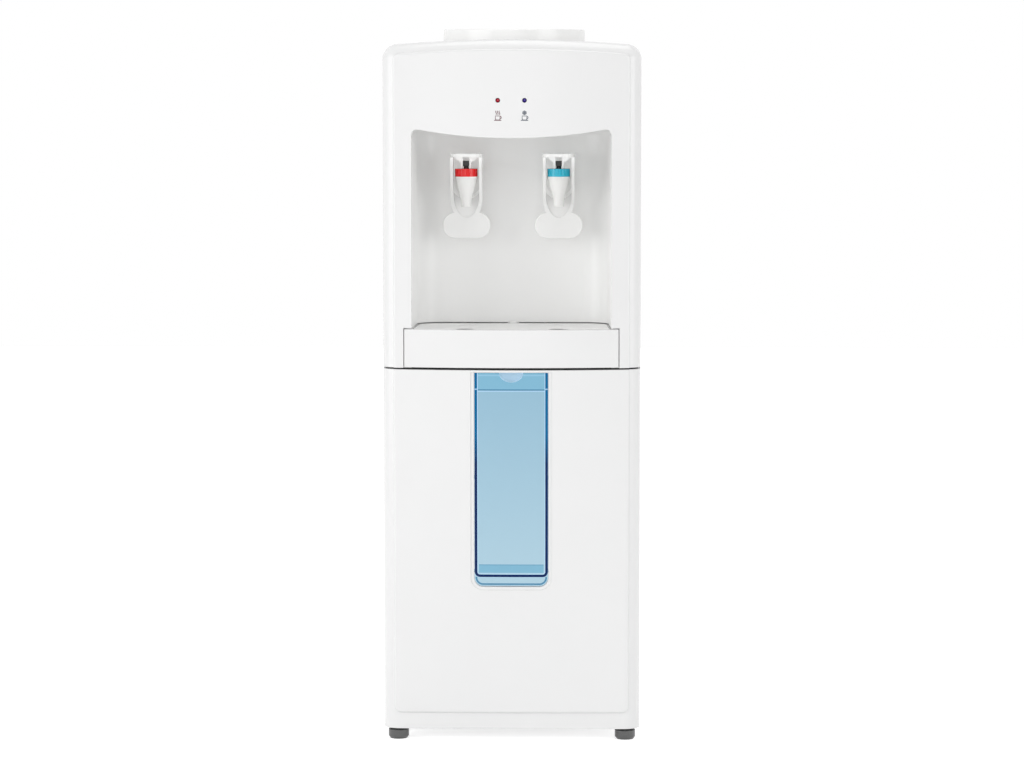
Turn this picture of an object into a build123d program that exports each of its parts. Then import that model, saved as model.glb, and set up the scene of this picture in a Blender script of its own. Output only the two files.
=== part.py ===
from build123d import *
from math import cos, radians, sin, sqrt
import os

# Floor-standing water cooler for large upturned bottles. Two push-lever taps stand in a
# bay over a slide-out drip tray, a tilt-out cup bin closes the lower front, and the
# tanks, the thermoelectric cooling block and the wiring boxes fill a folded sheet body.
# Millimetres. X is to the right, -Y is the front, Z is up, and the origin is on the
# floor under the middle of the body.

# Shared clearances and the overrun of cuts
FIT = 0.3
RUN_FIT = 0.05
PANEL_GAP = 0.5
OVER = 6.0

# Body envelope
WIDTH = 310.0
HALF = WIDTH / 2
BACK_Y = 145.0
FRAME_Y = -133.0
UPPER_BOW = 18.0
LOWER_BOW = 3.0
CORNER_R = 20.0
SHOULDER_R = 18.0
CROWN_MID_Z = 845.0
CROWN_FALL = 7.0
CROWN_SIDE_Z = CROWN_MID_Z - CROWN_FALL
BODY_LOW_Z = 14.0
SEAM_Z = 452.0
SEAM_GAP = 2.0
SEAM_LOW_Z = SEAM_Z - SEAM_GAP / 2
SEAM_HIGH_Z = SEAM_Z + SEAM_GAP / 2
WALL = 2.5
SHEET = 1.2
SHEET_BACK_Y = BACK_Y - SHEET
RETURN_DEPTH = 30.0
RETURN_Y = FRAME_Y + RETURN_DEPTH
COVER_SIDE_Z = CROWN_SIDE_Z - SHOULDER_R

# Raised field of the front
FIELD_STEP = 4.0
FIELD_MARGIN = 13.3
FIELD_HALF = HALF - FIELD_MARGIN
FIELD_LOW_MARGIN = 20.0
FIELD_LOW_Z = BODY_LOW_Z + FIELD_LOW_MARGIN
FIELD_TOP_MARGIN = 11.0
FIELD_TOP_MID_Z = CROWN_MID_Z - FIELD_TOP_MARGIN
FIELD_TOP_FALL = 6.0
FIELD_TOP_SIDE_Z = FIELD_TOP_MID_Z - FIELD_TOP_FALL
FIELD_CORNER_R = 8.0
FIELD_EDGE_R = 3.0
FRONT_Y = FRAME_Y - FIELD_STEP - UPPER_BOW

# Tap bay
BAY_MARGIN = 35.5
BAY_HALF = HALF - BAY_MARGIN
BAY_TAPER = 4.0
BAY_BACK_HALF = BAY_HALF - BAY_TAPER
BAY_BACK_Y = -35.0
BAY_WALL_BACK_Y = BAY_BACK_Y + WALL
BAY_CORNER_R = 32.0
BAY_FLOOR_UP = 3.0
BAY_FLOOR_Z = SEAM_HIGH_Z + BAY_FLOOR_UP
LIP_DROP = 117.0
LIP_MID_Z = CROWN_MID_Z - LIP_DROP
LIP_BULGE = 11.5
LIP_SIDE_Z = LIP_MID_Z + LIP_BULGE
LIP_CORNER_R = 7.0
BAY_TOP_UP = 2.5
BAY_TOP_Z = LIP_SIDE_Z + BAY_TOP_UP
BAY_TOP_R = 14.0
DRIP_SLOT_H = 1.0
DRIP_SLOT_LENGTH = 65.0
DRIP_SLOT_BRIDGE = 14.0

# Drip tray and its grille
TRAY_LAP = 8.9
TRAY_HALF = BAY_HALF + TRAY_LAP
TRAY_UP = 0.8
TRAY_LOW_Z = SEAM_HIGH_Z + TRAY_UP
TRAY_H = 45.7
TRAY_RIM_Z = TRAY_LOW_Z + TRAY_H
TRAY_PLATE = 3.0
TRAY_WALL = 1.4
TRAY_LEDGE = 2.6
TRAY_SIDE_GAP = 1.0
TRAY_TOP_GAP = 1.3
TRAY_EDGE_R = 1.2
JAMB_GAP = 0.7
JAMB_WALL = 2.5
JAMB_LAP = 3.8
JAMB_DEPTH = TRAY_PLATE + JAMB_GAP
JAMB_BACK = JAMB_DEPTH + JAMB_WALL
NOTCH_TOP_Z = TRAY_RIM_Z + TRAY_TOP_GAP
NOTCH_HALF_WIDTH = TRAY_HALF + TRAY_SIDE_GAP
GRILLE_THICK = 2.3
DISH_R = 24.0
DISH_HOLE_R = 12.5
DISH_DROP = 1.5
DISH_EDGE = 0.6
DISH_BACK = 31.0
DRIP_HOLE_R = 2.0
DRIP_HOLES_R = 8.0
DRIP_HOLES = 6
TAB_W = 8.0
TAB_THICK = 2.0
TAB_H = 3.0

# Taps
TAP_X = 55.9
TAP_OUT = 47.0
TAP_Y = BAY_BACK_Y - TAP_OUT
TAP_DROP = 61.6
TAP_Z = BAY_TOP_Z - TAP_DROP
SPOUT_LIP_R = 13.9
SPOUT_LIP_H = 2.6
SPOUT_TOP_R = 12.9
SPOUT_MID_R = 9.0
SPOUT_LEAN = 0.12
SPOUT_END_R = 6.1
SPOUT_MID_DROP = 18.0
SPOUT_DROP = 36.4
SPOUT_BORE_R = 4.0
NECK_R = 10.5
NECK_H = 6.8
CHAMBER_R = 8.2
SEAT_DROP = 12.0
SHANK_R = 7.0
SHANK_DROP = 8.0
SHANK_Z = TAP_Z - SHANK_DROP
BARB_R = 3.9
BARB_LENGTH = 2.0
TAP_FLANGE_R = 16.5
TAP_FLANGE_THICK = 3.5
NUT_FLATS = 24.0
NUT_THICK = 7.0
RING_R = 13.7
RING_H = 9.4
RING_ROOF = 2.2
RING_FLUTES = 20
RING_FLUTE_R = 0.9
STEM_R = 3.0
STEM_HEAD_W = 7.3
STEM_HEAD_D = 7.0
STEM_HEAD_LOW = 11.8
STEM_HEAD_TOP = 18.9
STEM_HEAD_EDGE = 1.0
PIN_RISE = 16.0
PIN_R = 1.5
SEAL_R = 7.5
SEAL_H = 5.0
SEAL_SOCKET = 3.0
SEAL_SOCKET_Z = -SEAT_DROP + SEAL_H - SEAL_SOCKET
SPRING_R = 5.6
SPRING_WIRE = 1.1
SPRING_TURNS = 4

# Tap levers
CHEEK_IN = 3.9
CHEEK_OUT = 6.5
CHEEK_FRONT = 9.5
CHEEK_BACK = 6.0
CHEEK_LIFT = 0.4
LEVER_HALF = 19.2
LEVER_TOP = 27.6
LEVER_PLATE = 4.0
LEVER_FRONT = 15.0
LEVER_BACK = 14.5
LEVER_NOSE_R = 8.0
GUSSET_DROP = 6.5
GUSSET_THICK = 3.0
ARM_THICK = 3.7
ARM_KNEE_DROP = 26.0
ARM_END_HALF = 15.5
ARM_WAIST = 9.0
ARM_WAIST_DROP = 18.0
ARM_LOW_Y = 9.0
ARM_LOW_DROP = 34.0
FORK_TOP_DROP = 22.0
FORK_LOW_DROP = 50.0
RIM_THICK = 2.5
WEB_THICK = 1.2
WEB_TOP_DROP = 20.0
WEB_TOP_DIP = 8.0
PADDLE_HALF = 29.0
PADDLE_TOP_DROP = 43.8
PADDLE_LOW_DROP = 75.6
PADDLE_EDGE_R = 0.9

# Lower front window and the tilt-out cup bin
WINDOW_HALF = 44.7
WINDOW_H = 259.4
WINDOW_UNDER_SEAM = 2.7
WINDOW_TOP_Z = SEAM_LOW_Z - WINDOW_UNDER_SEAM
WINDOW_LOW_Z = WINDOW_TOP_Z - WINDOW_H
WINDOW_R = 11.0
BEZEL_W = 4.0
BEZEL_DEPTH = 0.8
BIN_SIDE_GAP = 0.6
BIN_HALF = WINDOW_HALF - BIN_SIDE_GAP
BIN_LOW_GAP = 1.1
BIN_LOW_Z = WINDOW_LOW_Z + BIN_LOW_GAP
BIN_TOP_GAP = 0.4
BIN_TOP_Z = WINDOW_TOP_Z - BIN_TOP_GAP
BIN_R = 10.2
BIN_SINK = 0.5
BIN_PLATE = 2.5
BIN_WALL = 2.2
BIN_DEPTH = 88.0
BIN_TOP_DEPTH = 18.0
BIN_SHOULDER_H = 70.0
BIN_SIDE_DROP = 4.0
BUCKET_IN = 0.1
BUCKET_HALF = BIN_HALF - BUCKET_IN
BUCKET_RISE = 12.2
BUCKET_Z = BIN_LOW_Z + BUCKET_RISE
BUCKET_R = 4.0
GRIP_BAND_H = 20.0
GRIP_BAND_THICK = 1.5
NOTCH_HALF = 14.5
NOTCH_DROP = 11.5
SCOOP_DEPTH = 15.8
SCOOP_WALL = 1.5
PIVOT_IN = 5.4
PIVOT_UP = 18.0
PIVOT_R = 2.0
BOSS_R = 3.6
BIN_TILT = 28.0
STOP_RISE = 107.0
STOP_R = 2.5
STOP_LENGTH = 3.2
WELL_GAP = 4.3
WELL_HALF = WINDOW_HALF + WELL_GAP
WELL_WALL = 1.5
WELL_DROP = 4.9
WELL_LOW_Z = WINDOW_LOW_Z - WELL_DROP
WELL_BACK_Y = -32.0

# Bottle seat
BOTTLE_Y = 14.0
SEAT_R = 87.0
SEAT_WALL = 3.0
SEAT_UP = 13.0
SEAT_TOP_Z = CROWN_MID_Z + SEAT_UP
SEAT_FLANGE_R = 93.0
SEAT_FLANGE_DROP = 6.2
SEAT_FLANGE_Z = CROWN_MID_Z - SEAT_FLANGE_DROP
SEAT_FLANGE_THICK = 2.5
FUNNEL_H = 32.8
SUMP_R = 42.0
SUMP_TOP_Z = SEAT_FLANGE_Z - FUNNEL_H
SUMP_H = 31.0
SUMP_LOW_Z = SUMP_TOP_Z - SUMP_H
PROBE_BASE_R = 18.0
PROBE_R = 11.0
PROBE_TIP_R = 7.0
PROBE_H = 43.0
PROBE_TOP_Z = SUMP_LOW_Z + PROBE_H
PROBE_WALL = 2.2
PROBE_SLOTS = 4
PROBE_SLOT_W = 5.0
PROBE_SLOT_H = 14.0
PROBE_NECK_R = 8.5

# Sheet body
FLANGE_W = 14.0
BASE_UP = 2.5
BASE_Z = BODY_LOW_Z + BASE_UP
BASE_THICK = 2.0
BASE_SIDE_GAP = 1.6
BASE_HALF = HALF - SHEET - BASE_SIDE_GAP
BASE_FRONT_IN = 7.0
BASE_FRONT_Y = FRAME_Y + BASE_FRONT_IN
BASE_RIM_H = 18.0
DECK_DROP = 5.0
DECK_Z = SEAM_LOW_Z - DECK_DROP
DECK_FLANGE_H = 12.0
GASKET_IN = 3.0
GASKET_W = 4.0

# Feet
FOOT_SIDE_IN = 17.6
FOOT_X = HALF - FOOT_SIDE_IN
FOOT_FRONT_IN = 15.0
FOOT_FRONT_Y = FRAME_Y + FOOT_FRONT_IN
FOOT_BACK_IN = 25.0
FOOT_BACK_Y = BACK_Y - FOOT_BACK_IN
FOOT_R = 12.5
FOOT_SOLE_R = 10.5
FOOT_TOP_R = 9.0
FOOT_SOLE_H = 3.0
FOOT_BAND_H = 11.0
FOOT_STEM_R = 4.0
FOOT_STEM_H = 20.0
FOOT_STEM_TOP_Z = BODY_LOW_Z + FOOT_STEM_H
FOOT_BOSS_R = 15.0

# Hot tank
HOT_X = -12.0
HOT_Y = 44.0
HOT_R = 45.0
HOT_UP = 16.0
HOT_LOW_Z = DECK_Z + HOT_UP
HOT_H = 110.0
HOT_TOP_Z = HOT_LOW_Z + HOT_H
HOT_WALL = 1.5
HOT_EDGE = 7.0
HOT_SKIRT_R = 34.0
THERMO_R = 8.0
THERMO_THICK = 9.0
THERMO_PITCH = 18.0
THERMO_DROP = 26.0
THERMO_LOW_Z = HOT_TOP_Z - THERMO_DROP
BAND_UP = 30.0
BAND_LOW_Z = HOT_LOW_Z + BAND_UP
BAND_DROP = 16.0
BAND_HIGH_Z = THERMO_LOW_Z - BAND_DROP
BAND_THICK = 3.0
BAND_LUG_W = 16.0
BAND_LUG_OUT = 10.0

# Cold tank, its foam and the cooling block behind it
COLD_HALF = 55.0
COLD_FRONT_Y = 4.0
COLD_DEPTH = 80.0
COLD_BACK_Y = COLD_FRONT_Y + COLD_DEPTH
COLD_DROP = 19.0
COLD_TOP_Z = SUMP_LOW_Z - COLD_DROP
COLD_R = 15.0
COLD_WALL = 1.0
FOAM = 8.0
TANKS_GAP = 20.0
COLD_LOW_Z = HOT_TOP_Z + TANKS_GAP + FOAM
FOAM_FRONT_Y = COLD_FRONT_Y - FOAM
FOAM_BACK_Y = COLD_BACK_Y + FOAM
COOLER_Z = (COLD_LOW_Z + COLD_TOP_Z) / 2
BLOCK_W = 48.0
MODULE_W = 40.0
MODULE_THICK = 4.0
SINK_W = 80.0
SINK_BASE = 4.0
SINK_FINS = 13
SINK_FIN = 1.4
FAN_W = 80.0
FAN_THICK = 20.0
FAN_FRONT_Y = SHEET_BACK_Y - FAN_THICK
FAN_WALL = 3.0
FAN_HOLE_R = FAN_W / 2 - FAN_WALL
FAN_HUB_R = 15.0
FAN_BLADES = 7
FAN_BLADE = 1.6
FAN_BLADE_PITCH = 35.0
FAN_STRUT = 4.0
FAN_AXLE_R = 3.0
VENT_R = FAN_HOLE_R + SHEET

# Hoses and ports
HOSE_R = 5.5
HOSE_BORE_R = 4.0
HOSE_BEND_R = 8.0
HOSE_RUN_IN = 10.0
HOSE_RUN_Y = FOAM_FRONT_Y - HOSE_RUN_IN
PORT_BORE_R = 2.5
COLD_PORT_X = 40.0
COLD_PORT_UP = 18.0
COLD_PORT_Z = COLD_LOW_Z + COLD_PORT_UP
HOT_PORT_X = -30.0
HOT_PORT_DROP = 24.0
HOT_PORT_Z = HOT_TOP_Z - HOT_PORT_DROP
FEED_X = 45.0
FEED_Y = 46.0
FEED_UP = 16.0
FEED_Z = HOT_LOW_Z + FEED_UP
DRAIN_UP = 12.0
DRAIN_Z = HOT_LOW_Z + DRAIN_UP
DRAIN_HOLE_R = 8.0
SPIGOT_R = 6.0
SPIGOT_OUT = 6.0
SPIGOT_END_Y = BACK_Y + SPIGOT_OUT
SPIGOT_COLLAR_R = 11.0
SPIGOT_COLLAR = 3.0
PLUG_R = 10.5
PLUG_OUT = 10.0
PLUG_BACK_Y = BACK_Y + PLUG_OUT
PLUG_ROOF = 2.5
PLUG_GRIPS = 8
PLUG_GRIP_R = 1.6

# Back panel fittings
GUARD_W = 92.0
GUARD_THICK = 3.0
GUARD_SLOTS = 9
GUARD_SLOT_W = 5.0
GUARD_SLOT_PITCH = 8.0
GUARD_RIM = 6.0
GUARD_CORNER_R = 8.0
LOUVRE_COUNT = 9
LOUVRE_W = 110.0
LOUVRE_H = 5.0
LOUVRE_PITCH = 12.0
LOUVRE_LOW_Z = 90.0
SWITCH_SIDE_IN = 59.0
SWITCH_X = HALF - SWITCH_SIDE_IN
SWITCH_COLD_Z = 560.0
SWITCH_PITCH = 30.0
SWITCH_HOT_Z = SWITCH_COLD_Z - SWITCH_PITCH
SWITCH_W = 13.0
SWITCH_H = 19.0
SWITCH_DEPTH = 18.0
SWITCH_RIM = 1.6
SWITCH_RIM_THICK = 2.0
SWITCH_WALL = 1.0
ROCKER_W = 10.4
ROCKER_HALF_H = 7.8
ROCKER_FACE = 4.6
ROCKER_DIP = 1.4
ROCKER_BACK = 3.0
ROCKER_SWING = 8.0
ROCKER_AXLE_R = 1.2
GLAND_SIDE_IN = 50.0
GLAND_X = -HALF + GLAND_SIDE_IN
GLAND_UP = 31.5
GLAND_Z = BASE_Z + GLAND_UP
GLAND_R = 8.0
GLAND_RIM_R = 11.0
GLAND_RIM = 3.0
GLAND_BORE_R = 3.6
GLAND_LENGTH = 12.0
GLAND_NOSE = 6.0
SCREW_HEAD_R = 3.5
SCREW_HEAD = 1.8
SCREW_R = 1.5
SCREW_LENGTH = 7.0
SCREW_IN = 8.0
SCREW_ROWS = 5
SCREW_LOW_MARGIN = 23.5
SCREW_LOW_Z = BASE_Z + SCREW_LOW_MARGIN
SCREW_TOP_MARGIN = 20.0
SCREW_HIGH_Z = COVER_SIDE_Z - SCREW_TOP_MARGIN

# Wiring boxes and lamps
SUPPLY_HALF = 55.0
SUPPLY_BACK_IN = 25.0
SUPPLY_BACK_Y = BACK_Y - SUPPLY_BACK_IN
SUPPLY_DEPTH = 70.0
SUPPLY_FRONT_Y = SUPPLY_BACK_Y - SUPPLY_DEPTH
SUPPLY_H = 42.0
SUPPLY_WALL = 2.0
SUPPLY_SLOTS = 7
SUPPLY_SLOT_W = 3.0
SUPPLY_SLOT_PITCH = 12.0
LAMP_X = 15.9
LAMP_DROP = 72.1
LAMP_Z = CROWN_MID_Z - LAMP_DROP
LAMP_R = 2.5
LAMP_RIM_R = 2.9
LAMP_RIM = 1.0
LAMP_LENGTH = 8.6
LAMP_SINK = 0.2
BOARD_HALF = 30.0
BOARD_H = 24.0
BOARD_THICK = 1.6
BOARD_POST_R = 3.0
BOARD_POST_X = 25.0


def block(x0, x1, y0, y1, z0, z1):
    """A block between two corners."""
    corner = (Align.MIN, Align.MIN, Align.MIN)
    return Pos(x0, y0, z0) * Box(x1 - x0, y1 - y0, z1 - z0, align=corner)


def rod_x(radius, y, z, x0, x1):
    """A round bar along X."""
    return Pos((x0 + x1) / 2, y, z) * Rot(0, 90, 0) * Cylinder(radius, x1 - x0)


def rod_y(radius, x, z, y0, y1):
    """A round bar along Y."""
    return Pos(x, (y0 + y1) / 2, z) * Rot(90, 0, 0) * Cylinder(radius, y1 - y0)


def rod_z(radius, x, y, z0, z1):
    """A round bar along Z."""
    return Pos(x, y, (z0 + z1) / 2) * Cylinder(radius, z1 - z0)


def turned(points):
    """A solid turned about Z from the outline of half its section, as (radius, height)."""
    return revolve(make_face(Polyline(*[(r, 0, z) for r, z in points], close=True)), Axis.Z)


def hex_y(flats, x, z, y0, y1):
    """A six-sided bar along Y, measured across its flats."""
    outline = Plane.XZ * RegularPolygon(flats / 2, 6, major_radius=False)
    return Pos(x, y1, z) * extrude(outline, y1 - y0)


def mirrored(shape):
    """The shape and its mirror image across the middle of the body."""
    return [shape, mirror(shape, Plane.YZ)]


# Envelope of the body

def bow_at(z):
    """How far the front bulges at a height: full above the seam, less towards the floor."""
    rise = (z - BODY_LOW_Z) / (SEAM_LOW_Z - BODY_LOW_Z)
    return LOWER_BOW + (UPPER_BOW - LOWER_BOW) * rise


def outline(bow, inset, z, step, back):
    """The body's plan at a height, drawn in by inset, with its front moved out by step."""
    half = HALF - inset
    side_y = FRAME_Y - step + inset
    with BuildSketch(Plane.XY.offset(z)) as plan:
        with BuildLine():
            Line((half, side_y), (half, back))
            Line((half, back), (-half, back))
            Line((-half, back), (-half, side_y))
            ThreePointArc((-half, side_y), (0, side_y - bow), (half, side_y))
        make_face()
        fillet(plan.vertices().sort_by(Axis.Y)[:2], CORNER_R - inset)
    return plan.sketch


def crown(inset):
    """Everything under the crowned top, drawn in by inset."""
    side_z = CROWN_SIDE_Z - inset
    with BuildSketch(Plane.XZ.offset(-BACK_Y - OVER)) as profile:
        with BuildLine():
            Line((-HALF, SEAM_Z - OVER), (HALF, SEAM_Z - OVER))
            Line((HALF, SEAM_Z - OVER), (HALF, side_z))
            ThreePointArc((HALF, side_z), (0, CROWN_MID_Z - inset), (-HALF, side_z))
            Line((-HALF, side_z), (-HALF, SEAM_Z - OVER))
        make_face()
    return extrude(profile.sketch, BACK_Y - FRONT_Y + OVER + OVER)


def upper_prism(inset, step, low, back):
    """The upper body's plan carried straight up from a height."""
    return extrude(outline(UPPER_BOW, inset, low, step, back), CROWN_MID_Z - low)


def upper_form(inset, low, back):
    """The solid form of the body above the seam, with its shoulders rounded."""
    form = upper_prism(inset, 0, low, back) & crown(inset)
    top = form.faces().sort_by(Axis.Z)[-1]
    rim = [e for e in top.edges() if e.center().Y < back - FIT]
    return fillet(rim, SHOULDER_R - inset)


def lower_form(inset, step, low, high, back):
    """The solid form of the body below the seam, its bulge fading towards the floor."""
    plans = [outline(bow_at(z), inset, z, step, back).face() for z in (low, high)]
    return loft(plans, ruled=True)


def field_zone(inset):
    """What the raised field covers, seen from the front."""
    half = FIELD_HALF - inset
    low_z = FIELD_LOW_Z + inset
    side_z = FIELD_TOP_SIDE_Z - inset
    with BuildSketch(Plane.XZ) as zone:
        with BuildLine():
            Line((-half, low_z), (half, low_z))
            Line((half, low_z), (half, side_z))
            ThreePointArc((half, side_z), (0, FIELD_TOP_MID_Z - inset), (-half, side_z))
            Line((-half, side_z), (-half, low_z))
        make_face()
        fillet(zone.vertices(), FIELD_CORNER_R)
    return extrude(zone.sketch, -FRONT_Y + OVER)


def round_field(field, keep_z):
    """Rounds the raised field's front edges, apart from the cut one at a height."""
    front = field.faces().sort_by(Axis.Y)[0]
    rim = [e for e in front.edges() if abs(e.center().Z - keep_z) > FIELD_EDGE_R]
    return fillet(rim, FIELD_EDGE_R)


def upper_skin(inset, low):
    """The upper body with its raised field, drawn in by inset."""
    back = BACK_Y + OVER
    field = upper_prism(inset, FIELD_STEP, low, RETURN_Y) & field_zone(inset)
    if inset == 0:
        field = round_field(field, low)
    return upper_form(inset, low, back) + field


def lower_skin(inset, low, high):
    """The lower body with its raised field, drawn in by inset."""
    back = BACK_Y + OVER
    field = lower_form(inset, FIELD_STEP, low, high, RETURN_Y) & field_zone(inset)
    if inset == 0:
        field = round_field(field, high)
    return lower_form(inset, 0, low, high, back) + field


def upper_depth(inset):
    """The upper body cut back to a depth behind the raised field's surface."""
    return upper_prism(inset, FIELD_STEP, SEAM_LOW_Z, BACK_Y)


def lower_depth(inset):
    """The lower body cut back to a depth behind the raised field's surface."""
    return lower_form(inset, FIELD_STEP, BODY_LOW_Z, SEAM_LOW_Z, BACK_Y)


def field_y(x, z):
    """The raised field's front surface below the seam, at a place."""
    share = 1 - (x / HALF) ** 2
    return FRAME_Y - FIELD_STEP - bow_at(z) * share


# Tap bay and the openings of the upper front

def bay_plan(inset, front_y):
    """The bay's plan, drawn in by inset, open towards the front."""
    half = BAY_HALF - inset
    back_half = BAY_BACK_HALF - inset
    back_y = BAY_BACK_Y - inset
    with BuildSketch() as plan:
        with BuildLine():
            Polyline((-half, front_y), (half, front_y), (half, FRAME_Y), (back_half, back_y),
                     (-back_half, back_y), (-half, FRAME_Y), close=True)
        make_face()
        corners = plan.vertices().sort_by(Axis.Y)[-2:]
        fillet(corners, BAY_CORNER_R - inset)
    return plan.sketch


def bay_space(inset, low, high):
    """The room inside the bay between two heights, drawn in by inset."""
    return Pos(0, 0, low) * extrude(bay_plan(inset, FRONT_Y - OVER), high - low)


def recess_cut():
    """The opening of the upper front over the tap bay, with its bulging upper lip."""
    low = SEAM_HIGH_Z - OVER
    with BuildSketch(Plane.XZ) as zone:
        with BuildLine():
            Line((-BAY_HALF, low), (BAY_HALF, low))
            Line((BAY_HALF, low), (BAY_HALF, LIP_SIDE_Z))
            ThreePointArc((BAY_HALF, LIP_SIDE_Z), (0, LIP_MID_Z), (-BAY_HALF, LIP_SIDE_Z))
            Line((-BAY_HALF, LIP_SIDE_Z), (-BAY_HALF, low))
        make_face()
        fillet(zone.vertices().sort_by(Axis.Y)[-2:], LIP_CORNER_R)
    return extrude(zone.sketch, -FRONT_Y + OVER)


def jambs():
    """Thick walls beside the drip tray, which close the gap behind its ends."""
    half = NOTCH_HALF_WIDTH + JAMB_LAP
    top = NOTCH_TOP_Z + JAMB_LAP
    wide = block(-half, half, FRONT_Y - OVER, 0, SEAM_HIGH_Z, top)
    return (wide & upper_depth(FIELD_STEP)) - upper_depth(JAMB_BACK)


def lamp_holes(radius):
    """The two bores for the indicator lamps."""
    return [rod_y(radius, x, LAMP_Z, FRONT_Y - OVER, RETURN_Y) for x in (-LAMP_X, LAMP_X)]


def upper_fascia():
    """Moulded upper front: crowned top edge, raised field, bay opening and tray notch."""
    shell = upper_skin(0, SEAM_HIGH_Z) - upper_skin(WALL, SEAM_HIGH_Z + WALL)
    shell &= block(-HALF - OVER, HALF + OVER, FRONT_Y - OVER, RETURN_Y, SEAM_HIGH_Z, SEAT_TOP_Z)
    shell += jambs()
    shell -= recess_cut()
    notch = block(-NOTCH_HALF_WIDTH, NOTCH_HALF_WIDTH, FRONT_Y - OVER, 0,
                  SEAM_HIGH_Z - OVER, NOTCH_TOP_Z)
    shell -= notch - upper_depth(JAMB_DEPTH)
    half = NOTCH_HALF_WIDTH + JAMB_LAP
    flange = block(-half, half, FRONT_Y, 0, SEAM_HIGH_Z - OVER, SEAM_HIGH_Z + WALL)
    shell -= flange & upper_depth(JAMB_BACK)
    shell -= lamp_holes(LAMP_R + FIT)
    board_back = FRONT_Y + WALL + LAMP_LENGTH
    posts = [rod_y(BOARD_POST_R, x, LAMP_Z, FRONT_Y + WALL, board_back)
             for x in (-BOARD_POST_X, BOARD_POST_X)]
    return shell + posts


def tap_bay():
    """Moulded bay behind the upper front: walls slotted over the tray's rim, ceiling, tray floor."""
    outer = bay_space(-WALL, BAY_FLOOR_Z - WALL, BAY_TOP_Z + WALL)
    room = bay_space(0, BAY_FLOOR_Z, BAY_TOP_Z)
    ceiling = room.faces().sort_by(Axis.Z)[-1]
    room = fillet([e for e in ceiling.edges() if e.center().Y > FRAME_Y], BAY_TOP_R)
    bay = (outer - room) & upper_skin(WALL + FIT, SEAM_HIGH_Z)
    half = NOTCH_HALF_WIDTH + JAMB_LAP + FIT
    top = NOTCH_TOP_Z + JAMB_LAP + FIT
    beside = block(-half, half, FRONT_Y - OVER, 0, SEAM_LOW_Z, top)
    bay -= beside - upper_depth(JAMB_BACK + FIT)
    high = TRAY_RIM_Z + DRIP_SLOT_H
    slot = bay_space(-WALL - FIT, TRAY_RIM_Z, high)
    slot &= block(-HALF, HALF, BAY_BACK_Y - DRIP_SLOT_LENGTH, 0, TRAY_RIM_Z, high)
    bridge = DRIP_SLOT_BRIDGE / 2
    bay -= slot - block(-bridge, bridge, BAY_BACK_Y - OVER, 0, TRAY_RIM_Z, high)
    shanks = [rod_y(SHANK_R + FIT, x, SHANK_Z, BAY_BACK_Y - OVER, BAY_WALL_BACK_Y + OVER)
              for x in (-TAP_X, TAP_X)]
    return bay - shanks


# Drip tray

def drip_tray():
    """Slide-out tray: bowed front plate, shallow trough, ledge under its grille."""
    plate = block(-TRAY_HALF, TRAY_HALF, FRONT_Y - OVER, 0, TRAY_LOW_Z, TRAY_RIM_Z)
    plate = (plate & upper_depth(0)) - upper_depth(TRAY_PLATE)
    front = plate.faces().sort_by(Axis.Y)[0]
    plate = fillet(front.edges().sort_by(Axis.Z)[-1], TRAY_EDGE_R)
    low = BAY_FLOOR_Z + FIT
    ledge_z = TRAY_RIM_Z - GRILLE_THICK
    trough = bay_space(TRAY_SIDE_GAP, low, TRAY_RIM_Z) & upper_depth(TRAY_PLATE / 2)
    rim_in = TRAY_SIDE_GAP + TRAY_WALL
    rim_room = bay_space(rim_in, ledge_z, TRAY_RIM_Z + OVER)
    room = bay_space(rim_in + TRAY_LEDGE, low + TRAY_WALL, TRAY_RIM_Z)
    cavity = (rim_room + room) & upper_depth(TRAY_PLATE)
    return plate + (trough - cavity)


def dish(x, y):
    """A shallow dished cup rest round a drain hole."""
    top = TRAY_RIM_Z
    low = top - DISH_DROP
    under = GRILLE_THICK - RUN_FIT
    points = [(DISH_R, top), (DISH_R + GRILLE_THICK, top), (DISH_R + GRILLE_THICK, top - under),
              (DISH_R, top - under), (DISH_HOLE_R, low - DISH_EDGE), (DISH_HOLE_R, low)]
    return Pos(x, y, 0) * turned(points)


def drip_holes(x, low):
    """Small drain holes round the spot under a spout."""
    hole = rod_z(DRIP_HOLE_R, DRIP_HOLES_R, 0, low - OVER, TRAY_RIM_Z + OVER)
    middle = rod_z(DRIP_HOLE_R, 0, 0, low - OVER, TRAY_RIM_Z + OVER)
    ring = [Rot(0, 0, 360 * i / DRIP_HOLES) * hole for i in range(DRIP_HOLES)]
    return [Pos(x, TAP_Y, 0) * each for each in (middle, *ring)]


def drip_grille():
    """Lift-out grille of the drip tray with two dished cup rests, drip holes and a finger tab."""
    low = TRAY_RIM_Z - GRILLE_THICK + RUN_FIT
    inset = TRAY_SIDE_GAP + TRAY_WALL + FIT
    reach = bay_space(inset, BAY_FLOOR_Z, TRAY_RIM_Z) & upper_depth(TRAY_PLATE + FIT)
    plate = reach & block(-HALF, HALF, FRONT_Y, 0, low, TRAY_RIM_Z)
    rest_y = FRONT_Y + DISH_BACK
    for x in (-TAP_X, TAP_X):
        plate -= rod_z(DISH_R + FIT, x, rest_y, low - OVER, TRAY_RIM_Z + OVER)
        plate += dish(x, rest_y) & reach
        plate -= drip_holes(x, low)
    back_y = BAY_BACK_Y - inset
    tab = block(-TAB_W / 2, TAB_W / 2, back_y - TAB_THICK, back_y, low, TRAY_RIM_Z + TAB_H)
    return plate + tab


# Taps, each drawn about its own axis with zero at the foot of its coloured ring

def at_tap(x, shape):
    """Puts a piece drawn about the tap's own axis in its place."""
    return Pos(x, TAP_Y, TAP_Z) * shape


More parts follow.
